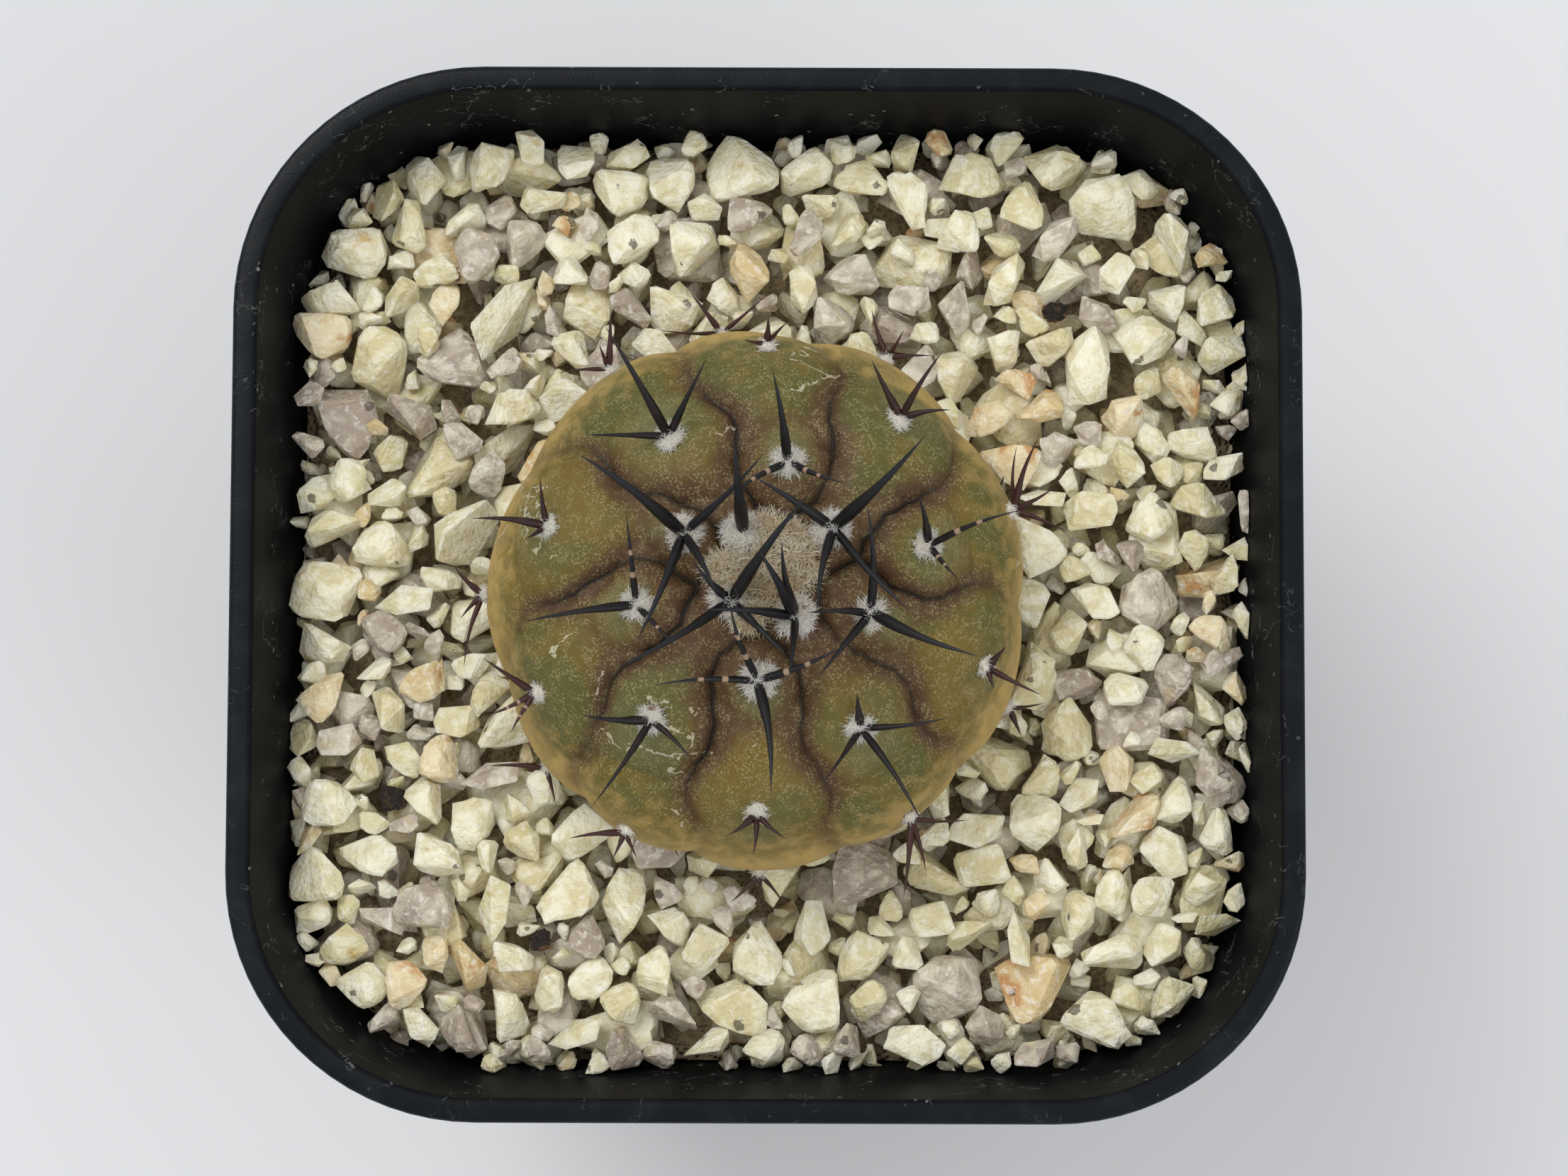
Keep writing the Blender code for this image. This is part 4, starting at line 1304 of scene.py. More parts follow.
    def build_crown_wool(self, material: bpy.types.Material) -> bpy.types.Object:
        """The matted wool that fills the dip in the crown.

        Args:
            material: The wool's material.

        Returns:
            The wool piece, in place of its CAD node.
        """
        count = 48
        seats = [self.seat(a)[0] for a in self.areoles if a.slope < 30]
        limits = []
        for i in range(count):
            way = Vector((math.cos(math.tau * i / count), math.sin(math.tau * i / count)))
            reach = 0.001
            while reach < 0.0048:
                spot = Vector(self.crown) + way * reach
                if min((spot - seat.xy).length for seat in seats) < self.pad_radius * 0.9:
                    break
                reach += 0.0001
            fray = 0.8 + 0.45 * noise.noise(Vector((way.x, way.y, 0.3)) * 1.7)
            limits.append(reach * min(1.0, fray))
        points = []
        for share, tall in ((0.5, -0.0007), (1.0, -0.0006), (1.0, -0.0001), (0.8, 0.0002),
                            (0.55, 0.0004), (0.3, 0.0004), (0.1, 0.0003)):
            for i in range(count):
                bearing = math.tau * i / count
                distance = limits[i] * share
                slope = math.asin(min(1.0, distance / float(self.reach(np.array(bearing)))))
                point, out = self.smooth_skin(bearing, slope)
                lump = 0.0009 * noise.noise(Vector(point) / 0.0012) if tall > 0 else 0.0
                points.append(Vector(point) + Vector(out) * (tall + lump))
        cushion = mesh_from("crown_cushion", points, loft_faces(7, count))
        mesh = apply_tree(cushion, wool_tree(), {
            "Density": 7.6e7, "Length": 0.0012, "Thickness": 0.00004, "Lean": 1.1, "Seed": 77,
            "Material": material}, "crown_felt")
        return finish_piece("crown_felt", mesh, material, ("crown_wool",))


# ---------------------------------------------------------------- stones and soil


def broken_stone(name: str, seed: int, corners: int, bevel: float, rings: int,
                 rough: float) -> bpy.types.Mesh:
    """A broken stone with broad faces and worn corners, filling a box from -1 to 1.

    Args:
        name: The mesh's name.
        seed: Seed for its corners.
        corners: How many points its hull is thrown round.
        bevel: Width of the worn edges.
        rings: Cuts across each face before it is roughened.
        rough: Height of the roughness.

    Returns:
        A closed mesh with its normals out.
    """
    dice = random.Random(seed)
    shape = bmesh.new()
    for _ in range(corners):
        spot = Vector([dice.gauss(0.0, 1.0) for _ in range(3)]).normalized()
        block = max(abs(part) for part in spot)
        shape.verts.new(spot * (0.55 + 0.45 / block * dice.uniform(0.55, 1.0)))
    hull = bmesh.ops.convex_hull(shape, input=shape.verts)
    inside = {item for item in hull["geom_interior"] + hull["geom_unused"]
              if isinstance(item, bmesh.types.BMVert)}
    bmesh.ops.delete(shape, geom=list(inside), context="VERTS")
    bmesh.ops.dissolve_limit(shape, angle_limit=math.radians(16.0), verts=shape.verts,
                             edges=shape.edges)
    bmesh.ops.bevel(shape, geom=shape.edges[:] + shape.verts[:], offset=bevel, segments=1,
                    affect="EDGES", profile=0.6, clamp_overlap=True)
    if rings:
        bmesh.ops.triangulate(shape, faces=shape.faces)
        bmesh.ops.subdivide_edges(shape, edges=shape.edges, cuts=rings, smooth=0.25,
                                  use_grid_fill=True)
    for vert in shape.verts:
        push = noise.fractal(vert.co * 2.6 + Vector((seed, 0, 0)), 0.8, 2.1, 4)
        vert.co *= 1.0 + rough * push
    bmesh.ops.remove_doubles(shape, verts=shape.verts, dist=0.004)
    bmesh.ops.triangulate(shape, faces=shape.faces)
    bmesh.ops.recalc_face_normals(shape, faces=shape.faces)
    mesh = bpy.data.meshes.new(name)
    shape.to_mesh(mesh)
    shape.free()
    fit_box(mesh, Vector((-1, -1, -1)), Vector((1, 1, 1)))
    mesh.shade_smooth()
    mesh.set_sharp_from_angle(angle=math.radians(24.0))
    return mesh


def fit_box(mesh: bpy.types.Mesh, low: Vector, high: Vector) -> None:
    """Stretch a mesh to fill a box."""
    spots = np.array([v.co for v in mesh.vertices])
    least, most = spots.min(axis=0), spots.max(axis=0)
    spots = (spots - least) / (most - least) * (np.array(high) - np.array(low))
    mesh.vertices.foreach_set("co", (spots + np.array(low)).astype(np.float32).ravel())
    mesh.update()


@dataclass(frozen=True)
class Bounds:
    """Where loose material may lie: inside the pot and clear of the plant."""

    half: float
    corner: float
    plant_centre: tuple[float, float]
    plant_radius: float
    plant_z: float
    belly_depth: float
    front_to_back: float

    def inside_wall(self, x: np.ndarray, y: np.ndarray) -> np.ndarray:
        """Distance in from the inner wall; negative outside."""
        flat = self.half - self.corner
        dx, dy = np.abs(x) - flat, np.abs(y) / self.front_to_back - flat
        round_ = np.hypot(np.maximum(dx, 0), np.maximum(dy, 0))
        return self.corner - (round_ + np.minimum(np.maximum(dx, dy), 0))

    def belly(self, x: np.ndarray, y: np.ndarray) -> np.ndarray:
        """Height of the underside of the plant over each place; high where it is clear."""
        far = np.hypot(x - self.plant_centre[0], y - self.plant_centre[1])
        share = np.clip(1.0 - (far / self.plant_radius) ** 2, 0.0, 1.0)
        under = self.plant_z - self.belly_depth * np.sqrt(share)
        return np.where(share > 0, under, 1.0)


@dataclass
class StonePile:
    """Stones dropped one by one, each into the lowest of a few places it is tried in."""

    bounds: Bounds
    floor: float
    limit: float
    margin: float = 0.0
    cell: float = 0.00025
    stones: list = field(default_factory=list)

    def __post_init__(self) -> None:
        """Lay out the height map and the ceiling that stones must stay under."""
        reach = self.bounds.half
        line = np.arange(-reach, reach, self.cell)
        self.x, self.y = np.meshgrid(line, line, indexing="ij")
        self.line = line
        self.top = np.full(self.x.shape, self.floor)
        self.roof = np.minimum(1.0, self.bounds.belly(self.x, self.y) - 0.0003)
        self.room = self.bounds.inside_wall(self.x, self.y)

    def keep_clear(self, low: Vector, high: Vector) -> None:
        """Keep the space of a stone that has its own place free."""
        mid, half = (low + high) / 2, (high - low) / 2 * 0.92
        inside = ((self.x - mid.x) / half.x) ** 2 + ((self.y - mid.y) / half.y) ** 2 < 1.0
        self.roof[inside] = np.minimum(self.roof[inside], low.z + 0.0009)

    def window(self, x: float, y: float, reach: float) -> tuple[slice, slice]:
        """The part of the map round a place."""
        i = int((x - self.line[0]) / self.cell)
        j = int((y - self.line[0]) / self.cell)
        n = int(reach / self.cell) + 1
        return slice(max(i - n, 0), i + n + 1), slice(max(j - n, 0), j + n + 1)

    def try_stone(self, x: float, y: float, half: np.ndarray, turn: float) -> tuple | None:
        """Lower a stone at one place until it touches what lies there.

        Args:
            x, y: The place.
            half: The stone's half sizes.
            turn: Its turn about the vertical.

        Returns:
            Its centre height and the part of the map under it, or None where it can't lie.
        """
        part = self.window(x, y, max(half[0], half[1]))
        dx, dy = self.x[part] - x, self.y[part] - y
        across = (dx * math.cos(turn) + dy * math.sin(turn)) / half[0]
        along = (dy * math.cos(turn) - dx * math.sin(turn)) / half[1]
        share = across ** 4 + along ** 4
        under = share < 0.8
        if not under.any() or (self.room[part][under] < self.margin).any():
            return None
        arch = half[2] * np.maximum(1.0 - share[under], 0.0) ** 0.35
        height = float((self.top[part][under] + arch).max()) - half[2] * 0.22
        if (height + arch * 0.96 > np.minimum(self.roof[part][under], self.limit)).any():
            return None
        return height, part, under, arch

    def drop(self, dice: np.random.Generator, half: np.ndarray, tries: int) -> bool:
        """Drop a stone in the best of some random places.

        Args:
            dice: The random generator.
            half: The stone's half sizes.
            tries: How many places to try.

        Returns:
            Whether the stone found a place.
        """
        best = None
        for _ in range(tries):
            x, y = dice.uniform(-self.bounds.half, self.bounds.half, 2)
            turn = dice.uniform(0.0, math.tau)
            found = self.try_stone(x, y, half, turn)
            if found and (best is None or found[0] < best[1][0]):
                best = ((x, y, turn), found)
        if best is None:
            return False
        (x, y, turn), (height, part, under, arch) = best
        block = self.top[part]
        block[under] = np.maximum(block[under], height + arch)
        self.stones.append((x, y, height, turn, *half))
        return True


@dataclass(frozen=True)
class StoneLook:
    """One of the loose stones that has its own place: its kind, tone and seed."""

    kind: StoneKind
    tone: float
    seed: int
    rough: float = 0.05


NAMED_STONES = (
    StoneLook(StoneKind.CREAM, 0.0, 301), StoneLook(StoneKind.LILAC, 0.35, 302),
    StoneLook(StoneKind.LILAC, 0.8, 303), StoneLook(StoneKind.CREAM, 0.05, 304),
    StoneLook(StoneKind.CREAM, 0.4, 305), StoneLook(StoneKind.STAINED, 0.3, 306, 0.1),
    StoneLook(StoneKind.LILAC, 0.6, 307), StoneLook(StoneKind.CREAM, 0.0, 328, 0.08),
    StoneLook(StoneKind.CREAM, 0.5, 309), StoneLook(StoneKind.CREAM, 0.3, 310),
    StoneLook(StoneKind.CREAM, 0.45, 311), StoneLook(StoneKind.CREAM, 0.2, 312),
)


@dataclass(frozen=True)
class StoneBatch:
    """Stones dropped together; lengths in millimetres.

    Each is between small and large, stays under top, which is measured from the top of the
    gravel, and keeps margin away from the wall. It is tried in some random places.
    """

    small: float
    large: float
    count: int
    tries: int
    top: float
    margin: float


STONE_BATCHES = (
    StoneBatch(2.4, 3.8, 900, 24, -1.3, 1.2), StoneBatch(4.6, 6.6, 150, 12, 3.3, 0.3),
    StoneBatch(3.4, 5.2, 700, 24, 3.2, 0.3), StoneBatch(2.4, 3.6, 800, 36, 2.7, 0.1),
    StoneBatch(1.5, 2.3, 650, 40, 2.4, 0.05),
)


@dataclass
class TopDressing:
    """The gravel on the potting mix: packed stones, loose stones, and crumbs of mix."""

    pot: "Pot"
    bounds: Bounds
    gravel_top: float
    models: int = 24
    depth: float = 0.0045
    highest: float = 0.0030
    bed_drop: float = 0.0034
    bed_neck: float = 0.0135

    def stone_models(self) -> bpy.types.Collection:
        """A hidden set of stone shapes, a few dozen faces each."""
        group = bpy.data.collections.new("stone_models")
        for i in range(self.models):
            mesh = broken_stone(f"stone_model_{i:02d}", 40 + i, 11, 0.13, 0, 0.16)
            group.objects.link(bpy.data.objects.new(f"stone_model_{i:02d}", mesh))
        return group

    def clear_models(self, group: bpy.types.Collection) -> None:
        """Remove the stone shapes once the stones are laid."""
        for model in list(group.objects):
            bpy.data.objects.remove(model, do_unlink=True)
        bpy.data.collections.remove(group)

    def pile(self) -> StonePile:
        """Drop the stones, big ones first and then smaller ones into the gaps."""
        heap = StonePile(self.bounds, self.gravel_top - self.depth,
                         self.gravel_top + self.highest)
        for number in range(len(NAMED_STONES)):
            heap.keep_clear(*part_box(f"gravel_stone_{number + 1:02d}"))
        for number in CRUMBS:
            heap.keep_clear(*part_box(f"soil_crumb_{number:02d}"))
        dice = np.random.default_rng(17)
        for batch in STONE_BATCHES:
            placed = 0
            heap.limit = self.gravel_top + batch.top * MM
            heap.margin = batch.margin * MM
            for _ in range(batch.count):
                long = dice.uniform(batch.small, batch.large) * MM / 2
                half = np.array((long, long * dice.uniform(0.62, 0.95),
                                 long * dice.uniform(0.45, 0.72)))
                placed += heap.drop(dice, half, batch.tries)
            log.info("stones of %.1f to %.1f mm: %d", batch.small, batch.large, placed)
        return heap

    def build_stones(self, finishes: dict[StoneKind, bpy.types.Material]) -> None:
        """Turn the pile into one piece for each kind of stone.

        Args:
            finishes: A material for each kind.
        """
        heap = self.pile()
        dice = np.random.default_rng(29)
        kinds = dice.choice(3, len(heap.stones), p=(0.68, 0.22, 0.10))
        group, tree = self.stone_models(), stone_tree()
        for number, kind in enumerate(StoneKind):
            rows = np.array([s for s, k in zip(heap.stones, kinds) if k == number])
            points = mesh_from("stone_places", rows[:, :3], [])
            count = len(rows)
            lean = dice.uniform(-0.22, 0.22, (count, 2))
            add_values(points, "turn", np.column_stack((lean, rows[:, 3])), "FLOAT_VECTOR")
            add_values(points, "size", rows[:, 4:7] * 1.06, "FLOAT_VECTOR")
            add_values(points, "model", dice.integers(0, self.models, count), "INT")
            add_values(points, "tone", dice.uniform(0.0, 1.0, count) ** 1.4)
            mesh = apply_tree(points, tree, {"Stones": group, "Material": finishes[kind]},
                              f"stones_{kind.value}")
            self.pot.hold_inside(mesh, WALL_GAP)
            finish_piece(f"stones_{kind.value}", mesh, finishes[kind])
        self.clear_models(group)

    def build_named(self, finishes: dict[StoneKind, bpy.types.Material],
                    soil: bpy.types.Material) -> None:
        """The loose stones and crumbs that have their own CAD nodes.

        Args:
            finishes: A material for each kind of stone.
            soil: The potting mix's material.
        """
        for number, look in enumerate(NAMED_STONES, start=1):
            name = f"gravel_stone_{number:02d}"
            low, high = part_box(name)
            mesh = broken_stone(f"loose_stone_{number:02d}", look.seed, 13, 0.12, 3,
                                look.rough)
            fit_box(mesh, low, high)
            self.pot.hold_inside(mesh, WALL_GAP)
            add_values(mesh, "tone", np.full(len(mesh.vertices), look.tone))
            finish_piece(f"loose_stone_{number:02d}", mesh, finishes[look.kind],
                         (name,))
        for number in CRUMBS:
            name = f"soil_crumb_{number:02d}"
            low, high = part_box(name)
            mesh = broken_stone(f"crumb_{number:02d}", 400 + number, 22, 0.1, 5, 0.22)
            fit_box(mesh, low, high)
            finish_piece(f"crumb_{number:02d}", mesh, soil, (name,))

    def build_bed(self, material: bpy.types.Material) -> bpy.types.Object:
        """The darkish ground between and under the stones, in place of the CAD's flat bed: gravel fines
        whose darkened cream is partly painted shade in the gaps.

        Args:
            material: The material of the ground.

        Returns:
            The bed piece.
        """
        low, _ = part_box("gravel_bed")
        count, inner = 96, 10
        rings = []
        flat = self.bounds.half - self.bounds.corner
        turn = np.arange(count) * math.tau / count
        out_x = np.clip(np.cos(turn) * 1.5, -1, 1) * flat + np.cos(turn) * self.bounds.corner
        out_y = np.clip(np.sin(turn) * 1.5, -1, 1) * flat + np.sin(turn) * self.bounds.corner
        for share in np.linspace(0.0, 1.0, inner):
            x = self.bounds.plant_centre[0] + np.cos(turn) * self.bed_neck
            y = self.bounds.plant_centre[1] + np.sin(turn) * self.bed_neck
            x, y = x + (out_x - x) * share, y + (out_y - y) * share
            lump = np.array([noise.noise(Vector((a, b, 0.0)) / 0.003)
                             for a, b in zip(x, y)])
            rings.append(np.stack((x, y, self.gravel_top - self.bed_drop + lump * 0.0005),
                                  -1))
        bottom = [np.stack((r[:, 0], r[:, 1], np.full(count, low.z)), -1)
                  for r in (rings[-1], rings[0])]
        points = np.concatenate([bottom[1]] + rings + [bottom[0]])
        faces = loft_faces(inner + 2, count, False, False)
        last = (inner + 1) * count
        faces += [(last + i, last + (i + 1) % count, (i + 1) % count, i)
                  for i in range(count)]
        mesh = mesh_from("bed", points, faces)
        fix_normals(mesh)
        self.pot.hold_inside(mesh, BED_GAP)
        return finish_piece("bed", mesh, material, ("gravel_bed",))


def fix_normals(mesh: bpy.types.Mesh) -> None:
    """Turn a closed mesh's faces outward."""
    shape = bmesh.new()
    shape.from_mesh(mesh)
    bmesh.ops.recalc_face_normals(shape, faces=shape.faces)
    shape.to_mesh(mesh)
    shape.free()


# ---------------------------------------------------------------- pot


# Rings under the lip: up from its lower edge, and out from the wall.
LIP_UNDERSIDE = ((-0.0004, 0.0001), (0.0, 0.0004))
# Rings of its band: up from its lower edge, and steps of the half width and corner radius.
LIP_BAND = ((0.0001, -0.0003, -0.0003), (0.0004, -0.00005, 0.0), (0.0012, -0.00005, 0.0),
            (0.0015, -0.0002, -0.0002))
LIP_BEND = (0, 22, 45, 67, 90)  # degrees at which a ring lies on a rounded edge of the lip
FLOOR_BEND = (20, 45, 70, 90)
SAME_PLACE = 1e-6


def turned(x: float, y: float, turn: float) -> tuple[float, float]:
    """A point turned about the pot's upright axis."""
    return x * math.cos(turn) - y * math.sin(turn), x * math.sin(turn) + y * math.cos(turn)


def grown(size: tuple[float, float], step: float) -> tuple[float, float]:
    """A half width and corner radius, both larger by one step."""
    return size[0] + step, size[1] + step


@dataclass
class PotSkin:
    """The rings of the pot's closed skin, in order, and how far each is part of the lining."""

    pot: "Pot"
    rings: list = field(default_factory=list)
    inside: list = field(default_factory=list)

    def put(self, z: float, half: float, corner: float, value: float = 0.0,
            notched: bool = False) -> None:
        """Add one ring; value is 0 outside and 1 on the lining."""
        self.rings.append(self.pot.ring(z, half, corner, notched))
        self.inside.append(value)

    def round_over(self, z: float, size: tuple[float, float], rise: float, grow: float,
                   bend: tuple[int, ...], value: float = 0.0) -> None:
        """Add the rings of a rounded edge.

        Args:
            z: Height of the edge's level side.
            size: Half width and corner radius of its upright side.
            rise, grow: How far the rounding takes the rings up and out from those sides.
            bend: Degrees of the bend at which a ring lies.
            value: 0 outside and 1 on the lining.
        """
        for angle in bend:
            out = grow * (1 - math.cos(math.radians(angle)))
            up = rise * (1 - math.sin(math.radians(angle)))
            self.put(z + up, *grown(size, out), value)


@dataclass
class Pot:
    """A square, tapering nursery pot with a banded lip, a foot and five drain holes."""

    rim_width: float = 0.090
    rim_corner: float = 0.0210
    lip_width: float = 0.0021
    lip_depth: float = 0.007
    height: float = 0.080
    base_width: float = 0.064
    base_corner: float = 0.014
    wall: float = 0.0012
    floor: float = 0.0015
    foot_height: float = 0.002
    foot_width: float = 0.003
    foot_notch: float = 0.010
    notch_share: float = 0.6
    foot_bevel: float = 0.0003
    base_bevel: float = 0.0004
    lip_edge: float = 0.0005
    mouth_edge: float = 0.0004
    floor_fillet: float = 0.0015
    drain_radius: float = 0.0035
    drain_spread: float = 0.26
    drain_sides: int = 28
    corner_steps: int = 18
    outside_rings: int = 18
    lining_rings: int = 22
    lining_limit: float = 0.2
    front_to_back: float = 0.985

    def section(self, z: float, inset: float) -> tuple[float, float]:
        """Half width and corner radius of the inner wall at a height, moved in by inset."""
        share = z / self.height
        low, high = self.base_width / 2 - self.wall, self.rim_width / 2 - self.lip_width
        low_c, high_c = self.base_corner - self.wall, self.rim_corner - self.lip_width
        return low + (high - low) * share - inset, low_c + (high_c - low_c) * share - inset

    def outer_section(self, z: float) -> tuple[float, float]:
        """Half width and corner radius of the outside of the wall at a height."""
        return self.section(z, -self.wall)

    def hold_inside(self, mesh: bpy.types.Mesh, margin: float) -> None:
        """Push the parts of a mesh that reach into the wall back inside it.

        Args:
            mesh: Something that lies in the pot.
            margin: The least distance it keeps from the inner wall.
        """
        spots = np.empty(len(mesh.vertices) * 3, dtype=np.float32)
        mesh.vertices.foreach_get("co", spots)
        spots = spots.reshape(-1, 3)
        half, corner = self.section(spots[:, 2], margin)
        flat = half - corner
        across = np.abs(spots[:, 0]) - flat
        along = np.abs(spots[:, 1]) / self.front_to_back - flat
        reach = np.hypot(np.maximum(across, 0), np.maximum(along, 0))
        shrink = np.minimum(1.0, corner / np.maximum(reach, 1e-9))
        new_x = flat + np.where(across > 0, across * shrink, across)
        new_y = flat + np.where(along > 0, along * shrink, along)
        spots[:, 0] = np.sign(spots[:, 0]) * new_x
        spots[:, 1] = np.sign(spots[:, 1]) * new_y * self.front_to_back
        mesh.vertices.foreach_set("co", spots.ravel())
        mesh.update()

    def outline(self, half: float, corner: float) -> list[tuple[float, float]]:
        """Points round a rounded square, the same number for every size."""
        flat = half - corner
        notch = self.foot_notch / 2 / (self.base_width / 2 - self.base_corner)
        marks = (-0.7, -0.45, -notch - 0.03, -notch, 0.0, notch, notch + 0.03, 0.45, 0.7)
        points = []
        for quarter in range(4):
            turn = quarter * math.pi / 2
            points.extend(turned(half, flat * mark, turn) for mark in marks)
            for step in range(self.corner_steps + 1):
                angle = step / self.corner_steps * math.pi / 2
                points.append(turned(flat + corner * math.cos(angle),
                                     flat + corner * math.sin(angle), turn))
        return points

    def ring(self, z: float, half: float, corner: float, notched: bool = False) -> list:
        """One ring of points; a notched ring rises at the middle of each side."""
        ring = []
        for x, y in self.outline(half, corner):
            along = min(abs(x), abs(y))
            near_side = max(abs(x), abs(y)) > half - SAME_PLACE
            raised = notched and near_side and along < self.foot_notch / 2 + SAME_PLACE
            lift = self.notch_share * self.foot_height if raised else 0.0
            ring.append((x, y * self.front_to_back, z + lift))
        return ring

    def build(self, outside: bpy.types.Material,
              lining: bpy.types.Material) -> bpy.types.Object:
        """The pot in one closed skin.

        Args:
            outside: The plastic of the lip and the outside.
            lining: The plastic of the dusty inner walls.

        Returns:
            The pot piece.
        """
        skin = PotSkin(self)
        self.put_foot(skin)
        self.put_lip(skin)
        top = self.foot_height + self.floor
        self.put_lining(skin, top)
        rings = skin.rings
        count = len(rings[0])
        points = [point for ring in rings for point in ring]
        faces = loft_faces(len(rings), count, False, False)
        values = [value for value in skin.inside for _ in range(count)]
        points, faces, values = self.add_floor(points, faces, values, count,
                                               len(rings) - 1, top)
        mesh = mesh_from("pot_shell", points, faces)
        fix_normals(mesh)
        mesh.set_sharp_from_angle(angle=math.radians(32.0))
        piece = finish_piece("pot_shell", mesh, outside, ("pot",))
        mesh.materials.append(lining)
        for face in mesh.polygons:
            least = min(values[i] for i in face.vertices)
            face.material_index = int(least > self.lining_limit)
        return piece

    def put_foot(self, skin: PotSkin) -> None:
        """Add the foot ring with its drain notches, and the outside up to the lip.

        Args:
            skin: The skin that the rings are added to.
        """
        under = self.section(0.0, self.foot_width - self.wall)
        skin.put(self.foot_height, *under)
        skin.put(self.foot_bevel, *under, notched=True)
        skin.put(0.0, *grown(under, self.foot_bevel), notched=True)
        skin.put(0.0, *grown(self.outer_section(0.0), -self.base_bevel), notched=True)
        skin.put(self.base_bevel, *self.outer_section(self.base_bevel), notched=True)
        start, end = 0.0022, self.height - self.lip_depth - 0.0012
        for z in np.linspace(start, end, self.outside_rings):
            skin.put(float(z), *self.outer_section(float(z)))

    def put_lip(self, skin: PotSkin) -> None:
        """Add the lip: its underside, its band and its two rounded edges.

        Args:
            skin: The skin that the rings are added to.
        """
        low = self.height - self.lip_depth
        wall = self.outer_section(low)
        lip = (self.rim_width / 2, self.rim_corner)
        for up, out in LIP_UNDERSIDE:
            skin.put(low + up, *grown(wall, out))
        for up, out, wider in LIP_BAND:
            skin.put(low + up, lip[0] + out, lip[1] + wider)
        skin.put(self.height - 0.0015, *grown(lip, -0.0001))
        skin.round_over(self.height, lip, -self.lip_edge, -self.lip_edge, LIP_BEND)
        mouth = self.section(self.height, 0.0)
        skin.round_over(self.height, mouth, -self.mouth_edge, self.mouth_edge,
                        LIP_BEND[::-1], 0.3)

    def put_lining(self, skin: PotSkin, top: float) -> None:
        """Add the inner wall and its rounded foot.

        Args:
            skin: The skin that the rings are added to.
            top: Height of the floor's upper face.
        """
        for z in np.linspace(self.height - 0.0015, 0.0055, self.lining_rings):
            skin.put(float(z), *self.section(float(z), 0.0), 1.0)
        skin.round_over(top, self.section(top, 0.0), self.floor_fillet, -self.floor_fillet,
                        FLOOR_BEND, 1.0)

    def add_floor(self, points: list, faces: list, values: list, count: int, last: int,
                  top: float) -> tuple[list, list, list]:
        """Close the shell with a floor that five drain holes pass through.

        Args:
            points, faces, values: The wall so far.
            count: Points in each ring.
            last: Number of the last ring.
            top: Height of the floor's upper face.

        Returns:
            The points, faces and inside values with the floor added.
        """
        sides = self.drain_sides
        apart = self.base_width * self.drain_spread
        spots = ((0.0, 0.0), (apart, apart), (-apart, apart), (-apart, -apart),
                 (apart, -apart))
        starts = []
        for z in (self.foot_height, top):
            for x, y in spots:
                starts.append(len(points))
                for i in range(sides):
                    angle = math.tau * i / sides
                    points.append((x + self.drain_radius * math.cos(angle),
                                   y + self.drain_radius * math.sin(angle), z))
                    values.append(0.0)
        holes = len(spots)
        for low, high in zip(starts[:holes], starts[holes:]):
            for i in range(sides):
                j = (i + 1) % sides
                faces.append((low + i, high + i, high + j, low + j))
        for rim, inner in ((0, starts[:holes]), (last * count, starts[holes:])):
            loops = [list(range(rim, rim + count))]
            loops += [list(range(start, start + sides)) for start in inner]
            flat = [[Vector(points[i]) for i in loop] for loop in loops]
            order = [i for loop in loops for i in loop]
            for triangle in tessellate_polygon(flat):
                faces.append(tuple(order[i] for i in triangle))
        return points, faces, values


# ---------------------------------------------------------------- stage


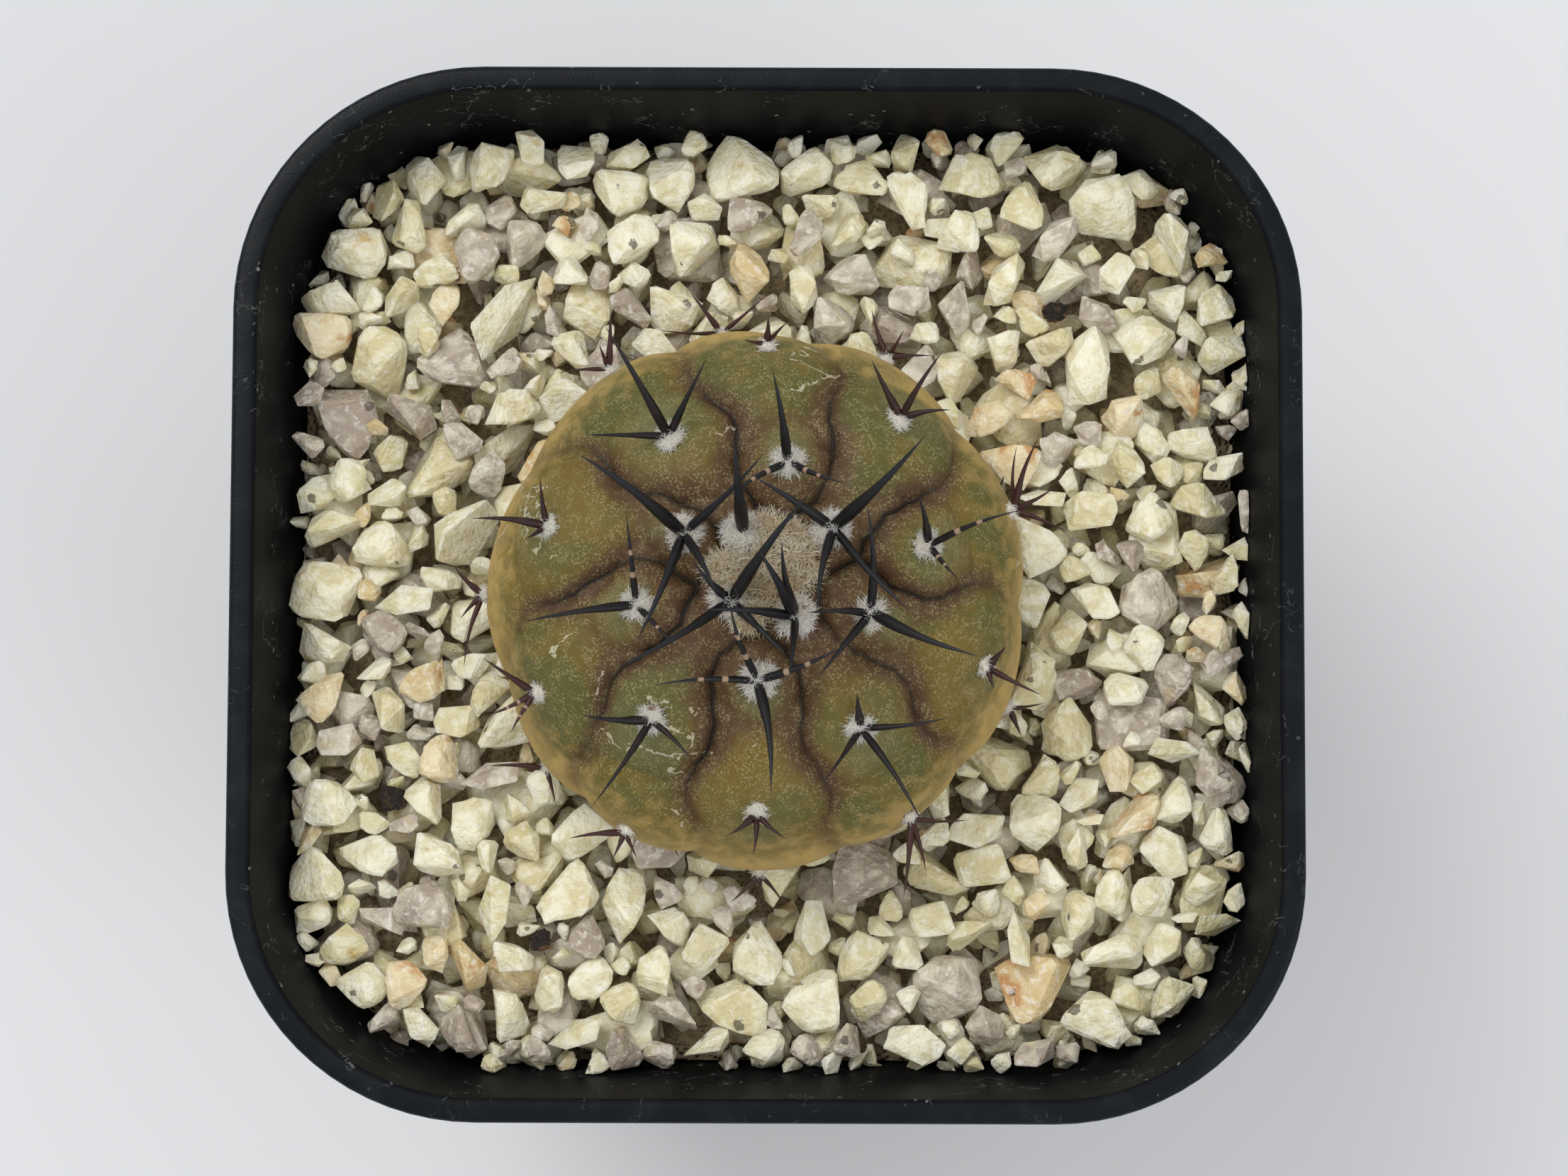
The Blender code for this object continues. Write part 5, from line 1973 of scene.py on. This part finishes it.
@dataclass(frozen=True)
class Stage:
    """A pale floor, soft light from above and the camera looking down."""

    aim: tuple[float, float, float] = (0.00145, 0.00014, 0.080)
    distance: float = 0.300
    tilt: float = 4.1
    roll: float = 0.19
    lens: float = 82.4
    surround: tuple = (0.97, 0.98, 1.0, 1.0)
    surround_strength: float = 0.82
    floor_tone: tuple = srgb(214, 215, 216)
    floor_reach: float = 3.0

    def build_camera(self) -> None:
        """Stand the camera over the plant."""
        aim = Vector(self.aim)
        tilt = math.radians(self.tilt)
        spot = aim + Vector((0.0, -math.sin(tilt), math.cos(tilt))) * self.distance
        data = bpy.data.cameras.new("camera")
        data.lens = self.lens
        data.sensor_width = 36.0
        data.clip_start = 0.01
        camera = bpy.data.objects.new("camera", data)
        camera.location = spot
        turn = (aim - spot).to_track_quat("-Z", "Y").to_matrix()
        roll = Euler((0.0, 0.0, math.radians(self.roll))).to_matrix()
        camera.rotation_euler = (turn @ roll).to_euler()
        bpy.context.scene.collection.objects.link(camera)
        bpy.context.scene.camera = camera

    def build_light(self) -> None:
        """A broad soft light to one side of the plant and a grey surround."""
        self.add_lamp("soft_key", spot=(-0.50, 0.60, 1.15), size=0.60, power=7.5)
        self.add_lamp("soft_fill", spot=(0.80, -0.50, 1.00), size=0.70, power=3.0)
        world = bpy.data.worlds.new("surround")
        world.use_nodes = True
        background = world.node_tree.nodes["Background"]
        background.inputs["Color"].default_value = self.surround
        background.inputs["Strength"].default_value = self.surround_strength
        bpy.context.scene.world = world

    def add_lamp(self, name: str, spot: tuple, size: float, power: float) -> None:
        """Hang one square lamp that faces the plant."""
        data = bpy.data.lights.new(name, "AREA")
        data.shape = "SQUARE"
        data.size = size
        data.energy = power
        lamp = bpy.data.objects.new(name, data)
        lamp.location = spot
        lamp.rotation_euler = (Vector(self.aim) - Vector(spot)).to_track_quat(
            "-Z", "Y").to_euler()
        bpy.context.scene.collection.objects.link(lamp)

    def build_floor(self) -> None:
        """A wide pale floor."""
        far = self.floor_reach
        corners = [(-far, -far, 0), (far, -far, 0), (far, far, 0), (-far, far, 0)]
        mesh = mesh_from("floor", corners, [(0, 1, 2, 3)])
        paint = Paint("pale_floor")
        grain = paint.graph.noise(paint.place, 60.0, 3.0)
        paint.feed("Base Color", paint.graph.blend(paint.graph.math("MULTIPLY", grain, 0.06),
                                                   self.floor_tone, srgb(200, 200, 200)))
        paint.feed("Roughness", 0.7)
        mesh.materials.append(paint.material)
        floor = bpy.data.objects.new("floor", mesh)
        bpy.context.scene.collection.objects.link(floor)
        floor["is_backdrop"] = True


# ---------------------------------------------------------------- build


def box_lists() -> list[list[float]]:
    """The whole object's lowest and highest corner as plain numbers."""
    return [[float(part) for part in corner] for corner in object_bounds()]


def main() -> None:
    """Build the object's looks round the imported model."""
    noise.seed_set(NOISE_SEED)
    cad_box = box_lists()
    bpy.context.scene.view_settings.view_transform = "Standard"
    kit = build_effects()
    pot_low, pot_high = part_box("pot")
    gravel_top = round(pot_high.z - GRAVEL_DROP, 4)
    stage = Stage()
    stage.build_camera()
    stage.build_light()
    stage.build_floor()

    pot_size = pot_high - pot_low
    pot = Pot(rim_width=pot_size.x, height=pot_high.z, front_to_back=pot_size.y / pot_size.x)
    outside = PlasticFinish("black_plastic", srgb(9, 14, 18), specular=0.14, roughness=0.36,
                            dustiness=0.25)
    lining = PlasticFinish("dusty_lining", srgb(10, 13, 17), specular=0.08, roughness=0.5,
                           dustiness=0.8)
    pot.build(outside.build(kit), lining.build(kit))

    soil = SoilFinish().build(kit)
    substrate = frame["nodes"]["substrate"]
    for holder in substrate.material_slots:
        holder.material = soil
    log.info("substrate: kept from the CAD with a new finish")

    plant = Plant(gravel_top)
    plant.build_stem(SkinFinish().build(kit))
    plant.build_spines(SpineFinish().build(kit))
    # The root colours are painted shade at the base of the hairs.
    white = WoolFinish("white_felt", clean=srgb(255, 254, 248), aged=srgb(246, 240, 226),
                       root=srgb(226, 218, 202), fleck_share=0.03, strand_share=0.1)
    cream = WoolFinish("cream_felt", clean=srgb(255, 247, 224), aged=srgb(226, 204, 158),
                       root=srgb(196, 172, 130), fleck_share=0.16, strand_share=0.5)
    plant.build_pads(white.build(kit))
    plant.build_crown_wool(cream.build(kit))

    half, corner = pot.section(gravel_top + STONES_REACH, 0.0)
    bounds = Bounds(half, corner, plant.centre, plant.radius, plant.widest_z,
                    plant.belly_depth, pot.front_to_back)
    finishes = {look.kind: look.build(kit) for look in STONE_FINISHES}
    dressing = TopDressing(pot, bounds, gravel_top)
    # The bed's darker cream stands for gravel fines, darkened as painted shade in the gaps between stones.
    fines_and_gap_shade = SoilFinish("gravel_fines_and_gap_shade", dark=srgb(140, 124, 94), rust=srgb(172, 154, 118))
    dressing.build_bed(fines_and_gap_shade.build(kit))
    dressing.build_stones(finishes)
    dressing.build_named(finishes, soil)

    boxes = {"cad": cad_box, "visual": box_lists()}
    log.info("cad %s visual %s", *boxes.values())


if __name__ == "__main__":
    main()
